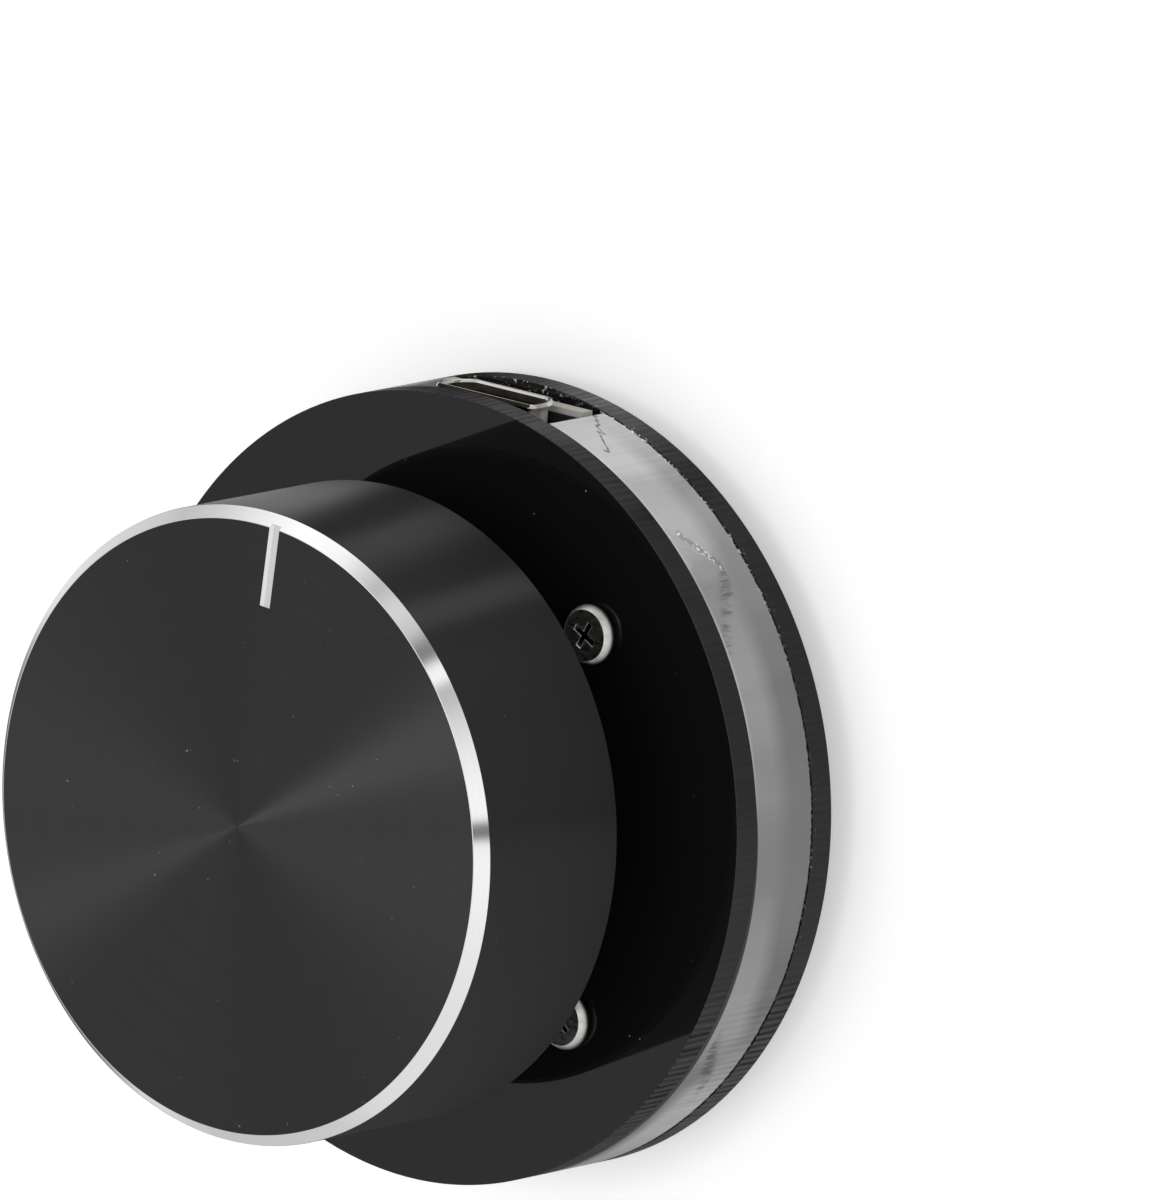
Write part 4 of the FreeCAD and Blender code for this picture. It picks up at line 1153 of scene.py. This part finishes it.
def to_world(direction):
    """A unit direction on the turning knob, as the studio sees it."""
    return add_node("ShaderNodeVectorTransform", {"Vector": on_vectors("NORMALIZE", direction)},
                    vector_type="VECTOR", convert_from="OBJECT", convert_to="WORLD").outputs["Vector"]


def tilt_outwards(normal, parts, lean):
    """Lean the turned face's normals away from the axis, as the flanks of cut grooves do."""
    outwards = to_world(assemble(parts["X"], parts["Y"]))
    return on_vectors("NORMALIZE", on_vectors("MULTIPLY_ADD", outwards, (lean, lean, lean), normal))


def lathe_rings(parts, scale, detail):
    """Uneven rings whose height depends only on the distance from the axis and on the height."""
    return noise(assemble(distance(parts["X"], parts["Y"]), parts["Z"]), scale, detail)


def lathe_marks(place):
    """The direction in which the cutting tool ran, and the point's own coordinates."""
    parts = split(place)
    return to_world(assemble(times(parts["Y"], -1.0), parts["X"])), parts


def black_anodised(name, gloss, lean):
    material, place = new_finish(name)
    tangent, parts = lathe_marks(place)
    rings = lathe_rings(parts, 5200, 2)
    wide_rings = lathe_rings(parts, 900, 2)
    dust = remap(noise(place, 2600, 1), 0.8, 0.84)
    tone = blend_colours(wide_rings, (0.003, 0.003, 0.0032), (0.006, 0.006, 0.0062))
    return coat(
        material,
        Base_Color=blend_colours(dust, tone, (0.16, 0.16, 0.16)),
        Roughness=0.36,
        IOR=1.5,
        Specular_IOR_Level=gloss,
        Anisotropic=1.0,
        Anisotropic_Rotation=0.25,
        Tangent=tangent,
        Normal=tilt_outwards(bump(rings, 0.25, 0.006 * MM), parts, lean),
    )


def bare_aluminium():
    material, place = new_finish("bare_aluminium")
    tangent, parts = lathe_marks(place)
    rings = lathe_rings(parts, 9000, 2)
    return coat(
        material,
        Base_Color=blend_colours(rings, (0.88, 0.88, 0.89), (0.95, 0.95, 0.955)),
        Metallic=1.0,
        Roughness=0.12,
        Anisotropic=0.6,
        Anisotropic_Rotation=0.25,
        Tangent=tangent,
        Normal=bump(rings, 0.2, 0.004 * MM),
    )


knob = raise_disc("knob", KNOB_RADIUS, KNOB_LOW, KNOB_TOP, KNOB_STEPS)
pick_ring(knob, KNOB_TOP)
bevel(KNOB_RIM, 1)
pick_ring(knob, KNOB_LOW)
bevel(KNOB_FOOT, 1)
pick_floor(knob, KNOB_LOW)
inset(KNOB_RADIUS - KNOB_FOOT - COUNTERBORE_RADIUS)
inset(0.02 * MM)
lift(COUNTERBORE_DEEP)
inset(COUNTERBORE_RADIUS - BORE_RADIUS)
inset(0.02 * MM)
lift(BORE_DEEP)
pick(knob, "edges", lambda edge: is_level(edge) and edge_height(edge) > KNOB_TOP - KNOB_RIM - 0.01 * MM)
bevel(RIM_ROUND)
close_mesh()
mark_long = KNOB_RADIUS + 1 * MM - MARK_INNER
cut_away(knob, add_bar("mark_tool", (MARK_WIDE, mark_long, MARK_DEEP * 2),
                       (0, MARK_INNER + mark_long / 2, KNOB_TOP)))
cut_away(knob, add_rod("hole_tool", SET_SCREW_RADIUS, KNOB_RADIUS + 1 * MM,
                       (0, -(KNOB_RADIUS + 1 * MM) / 2, SET_SCREW_HEIGHT), steps=64,
                       turn=(math.radians(90), 0, 0)))
knob.data.transform(Matrix.Rotation(math.radians(KNOB_TURN), 4, "Z"))
open_mesh(knob)
finish_mesh(knob)
knob.data.materials.append(black_anodised("black_anodised_side", 0.5, 0.0))


def is_bare(face):
    """The bright rim, and the floor, sides and end of the pointer line."""
    centre = face.center
    radius = math.hypot(centre.x, centre.y)
    on_chamfer = (centre.z > KNOB_TOP - KNOB_RIM + 0.02 * MM and 0.2 < face.normal.z < 0.98
                  and radius > KNOB_RADIUS - 1.05 * MM)
    in_mark = near(centre.z, KNOB_TOP - MARK_DEEP) or (
        KNOB_TOP - MARK_DEEP - 0.01 * MM < centre.z < KNOB_TOP - 0.01 * MM and face.normal.z < 0.2
        and radius < KNOB_RADIUS - KNOB_RIM)
    return on_chamfer or in_mark


give_edge(knob, black_anodised("black_anodised_face", 0.5, 0.1),
          lambda face: face.normal.z > 0.99 and near(face.center.z, KNOB_TOP))
give_edge(knob, bare_aluminium(), is_bare)
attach(knob, "knob")
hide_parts("knob_body")


# Set screw. A black-oxide headless screw with a hexagon socket, deep in its hole in the knob's
# side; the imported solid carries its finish.

dress(plain_coat("black_oxide", (0.018, 0.018, 0.02), (0.035, 0.035, 0.038), 2600, 0.4, 1.0), "set_screw")


# Studio. A pale floor, a pale sky with brighter and darker bands near the horizon, and soft panels;
# the floor shows white to the camera, shows the polished pieces a painted reflection with painted shade
# close to the dial, and keeps the dial's soft shadow.

FLOOR_HALF = 3.0
PANELS = [
    (-180, 0.62), (-150, 0.62), (-130, 0.56), (-110, 0.6), (-89, 0.78), (-60, 0.8), (-33, 0.89),
    (-16, 0.97), (-2, 0.97), (0, 0.12), (4, 0.12), (6, 1.02), (20, 0.96), (30, 0.86), (39, 0.73),
    (50, 0.5), (53, 0.5), (55, 1.05), (60, 1.0), (63, 0.2), (67, 0.2), (73, 0.6), (82, 0.73),
    (90, 0.5), (97, 0.72), (104, 1.0), (117, 1.12), (125, 1.0), (140, 0.76), (150, 0.6), (180, 0.62),
]
# Painted reflection: the levels polished pieces see in the floor, by bearing, in rings out from the dial;
# painted shade near it and painted bright patches farther out.
RIM_FLOOR = [
    (-180, 0.1), (180, 0.1), (-120, 0.05), (-90, 0.12), (-75, 0.22), (-47, 0.42), (-10, 0.46),
    (12, 0.4), (35, 0.32), (55, 0.38), (64, 0.28), (69, 0.45), (75, 0.62), (80, 1.0), (85, 0.88),
    (91, 0.6), (96, 0.25), (101, 0.2), (107, 0.03), (150, 0.1),
]
EDGE_FLOOR = [
    (-180, 0.13), (180, 0.13), (-120, 0.05), (-90, 0.12), (-75, 0.2), (-50, 0.3), (-10, 0.4),
    (5, 0.4), (20, 0.3), (50, 0.3), (57, 0.1), (62, 0.02), (68, 0.02), (72, 0.08), (77, 0.18), (83, 0.4),
    (89, 0.66), (92, 0.55), (96, 0.2), (101, 0.05), (107, 0.02), (113, 0.04), (119, 0.1), (126, 0.3),
    (134, 1.2), (158, 1.4), (165, 0.14),
]
CLOSE_FLOOR = [
    (-180, 0.13), (180, 0.13), (-120, 0.05), (-105, 0.06), (-90, 0.12), (-75, 0.22), (-47, 0.42),
    (-10, 0.5), (2, 0.48), (5, 0.24), (9, 0.3), (15, 0.25), (24, 0.3), (35, 0.32), (55, 0.46),
    (64, 0.46), (66.5, 1.5), (71, 1.5), (76, 0.15), (83, 0.12), (88, 0.4), (93, 0.9), (100, 1.0),
    (105, 0.2), (109, 0.07), (115, 0.07), (119, 0.6), (124, 1.5), (158, 1.5), (165, 0.14),
]
RIM_END = 28.6 * MM
EDGE_BEARINGS = (75, 92)
EDGE_END = (34.0 * MM, 31.6 * MM)
ZONE_BLEND = 0.8 * MM
FAR_FLOOR = [
    (-180, 0.9), (180, 0.9), (-140, 0.92), (-136, 0.88), (-130, 0.64), (-126, 0.57), (-112, 0.58),
    (-90, 0.7), (-20, 0.9), (60, 0.8), (76, 1.0), (86, 1.0), (95, 0.3), (104, 0.3), (113, 0.8),
    (122, 0.7), (132, 0.12), (146, 0.15), (152, 0.6), (160, 0.8),
]
SHADE_END = [(0.05, 0.0), (0.1, 1.0), (0.057, 0.0), (0.065, 0.12), (0.069, 0.3), (0.074, 0.55),
             (0.08, 0.84), (0.089, 1.0)]
LENS = 964.224
CAMERA_PLACE = (1.254079, 0.45226, 1.505974)
CAMERA_RIGHT = (0.758122, 0.063871, -0.648971)
CAMERA_UP = (-0.190572, 0.973444, -0.126826)
CAMERA_BACK = (0.623641, 0.219827, 0.750159)
DIAL_MIDDLE = (0, 0, 0.015)


def pale_floor():
    """White to the camera; polished pieces see a painted reflection in it: painted shade close to the dial
    and painted bright and dark patches by bearing farther out.
    """
    material, place = new_finish("pale_floor")
    mottle = noise(place, 3, 2)
    bearing, radius, _ = round_place(place)
    zones = [colour_ramp(bearing, stops) for stops in (RIM_FLOOR, EDGE_FLOOR, CLOSE_FLOOR, FAR_FLOOR)]
    edge_end = remap(bearing, *EDGE_BEARINGS, *EDGE_END)
    past_rim = remap(radius, RIM_END, RIM_END + ZONE_BLEND)
    past_edge = remap(minus(radius, edge_end), 0.0, ZONE_BLEND)
    painted_reflection = blend_colours(past_rim, zones[0], zones[1])
    painted_reflection = blend_colours(past_edge, painted_reflection, zones[2])
    painted_reflection = blend_colours(colour_ramp(radius, SHADE_END, 0.05, 0.1), painted_reflection, zones[3])
    rays = place.id_data.nodes.new("ShaderNodeLightPath").outputs
    bounced = larger(rays["Is Glossy Ray"], rays["Is Transmission Ray"])
    pale = blend_colours(mottle, (0.84, 0.84, 0.84), (0.86, 0.86, 0.86))
    return coat(
        material,
        Base_Color=blend_colours(bounced, pale, (0.0, 0.0, 0.0)),
        Roughness=0.9,
        Specular_IOR_Level=0.1,
        Emission_Color=blend_colours(bounced, (0.4, 0.4, 0.4), painted_reflection),
        Emission_Strength=larger(rays["Is Camera Ray"], bounced),
    )


let_go()
bpy.ops.mesh.primitive_plane_add(size=FLOOR_HALF * 2)
floor = take_piece("floor")
floor.data.materials.append(pale_floor())

world = bpy.data.worlds.new("studio")
bpy.context.scene.world = world
world.use_nodes = True
sky = world.node_tree.nodes["Background"]
bearing, radius, rise = round_place(world.node_tree.nodes.new("ShaderNodeTexCoord").outputs["Generated"])
horizon = blend_colours(remap(rise, 0.0, 0.2, 1.0, 0.0), colour_ramp(bearing, PANELS), (0.62, 0.62, 0.62))
feed(sky.inputs["Color"], blend_colours(remap(rise, 0.72, 0.9), horizon, (0.8, 0.8, 0.8)))
sky.inputs["Strength"].default_value = 1.0


def add_panel(name, place, width, height, power, bearing):
    """A soft rectangular lamp that faces the dial, its long side along a bearing seen from above."""
    light = bpy.data.lights.new(name, "AREA")
    light.shape = "RECTANGLE"
    light.size = width
    light.size_y = height
    light.energy = power
    lamp = bpy.data.objects.new(name, light)
    lamp.location = place
    away = (Vector(place) - Vector(DIAL_MIDDLE)).normalized()
    long_side = Vector((math.cos(math.radians(bearing)), math.sin(math.radians(bearing)), 0))
    short_side = away.cross(long_side).normalized()
    long_side = short_side.cross(away)
    lamp.rotation_mode = "QUATERNION"
    lamp.rotation_quaternion = Matrix((long_side, short_side, away)).transposed().to_quaternion()
    bpy.context.scene.collection.objects.link(lamp)


add_panel("panel_over", (-0.02, 0.17, 1.5), 0.7, 0.22, 2.2, 30)
add_panel("panel_side", (-0.66, -0.345, 1.3), 0.34, 0.2, 0.55, 0)

eye = bpy.data.cameras.new("camera")
eye.lens = LENS
eye.sensor_width = 36
camera = bpy.data.objects.new("camera", eye)
aim = Matrix((CAMERA_RIGHT, CAMERA_UP, CAMERA_BACK)).transposed().to_4x4()
aim.translation = CAMERA_PLACE
camera.matrix_world = aim
bpy.context.scene.collection.objects.link(camera)
bpy.context.scene.camera = camera
bpy.context.scene.view_settings.view_transform = "Standard"
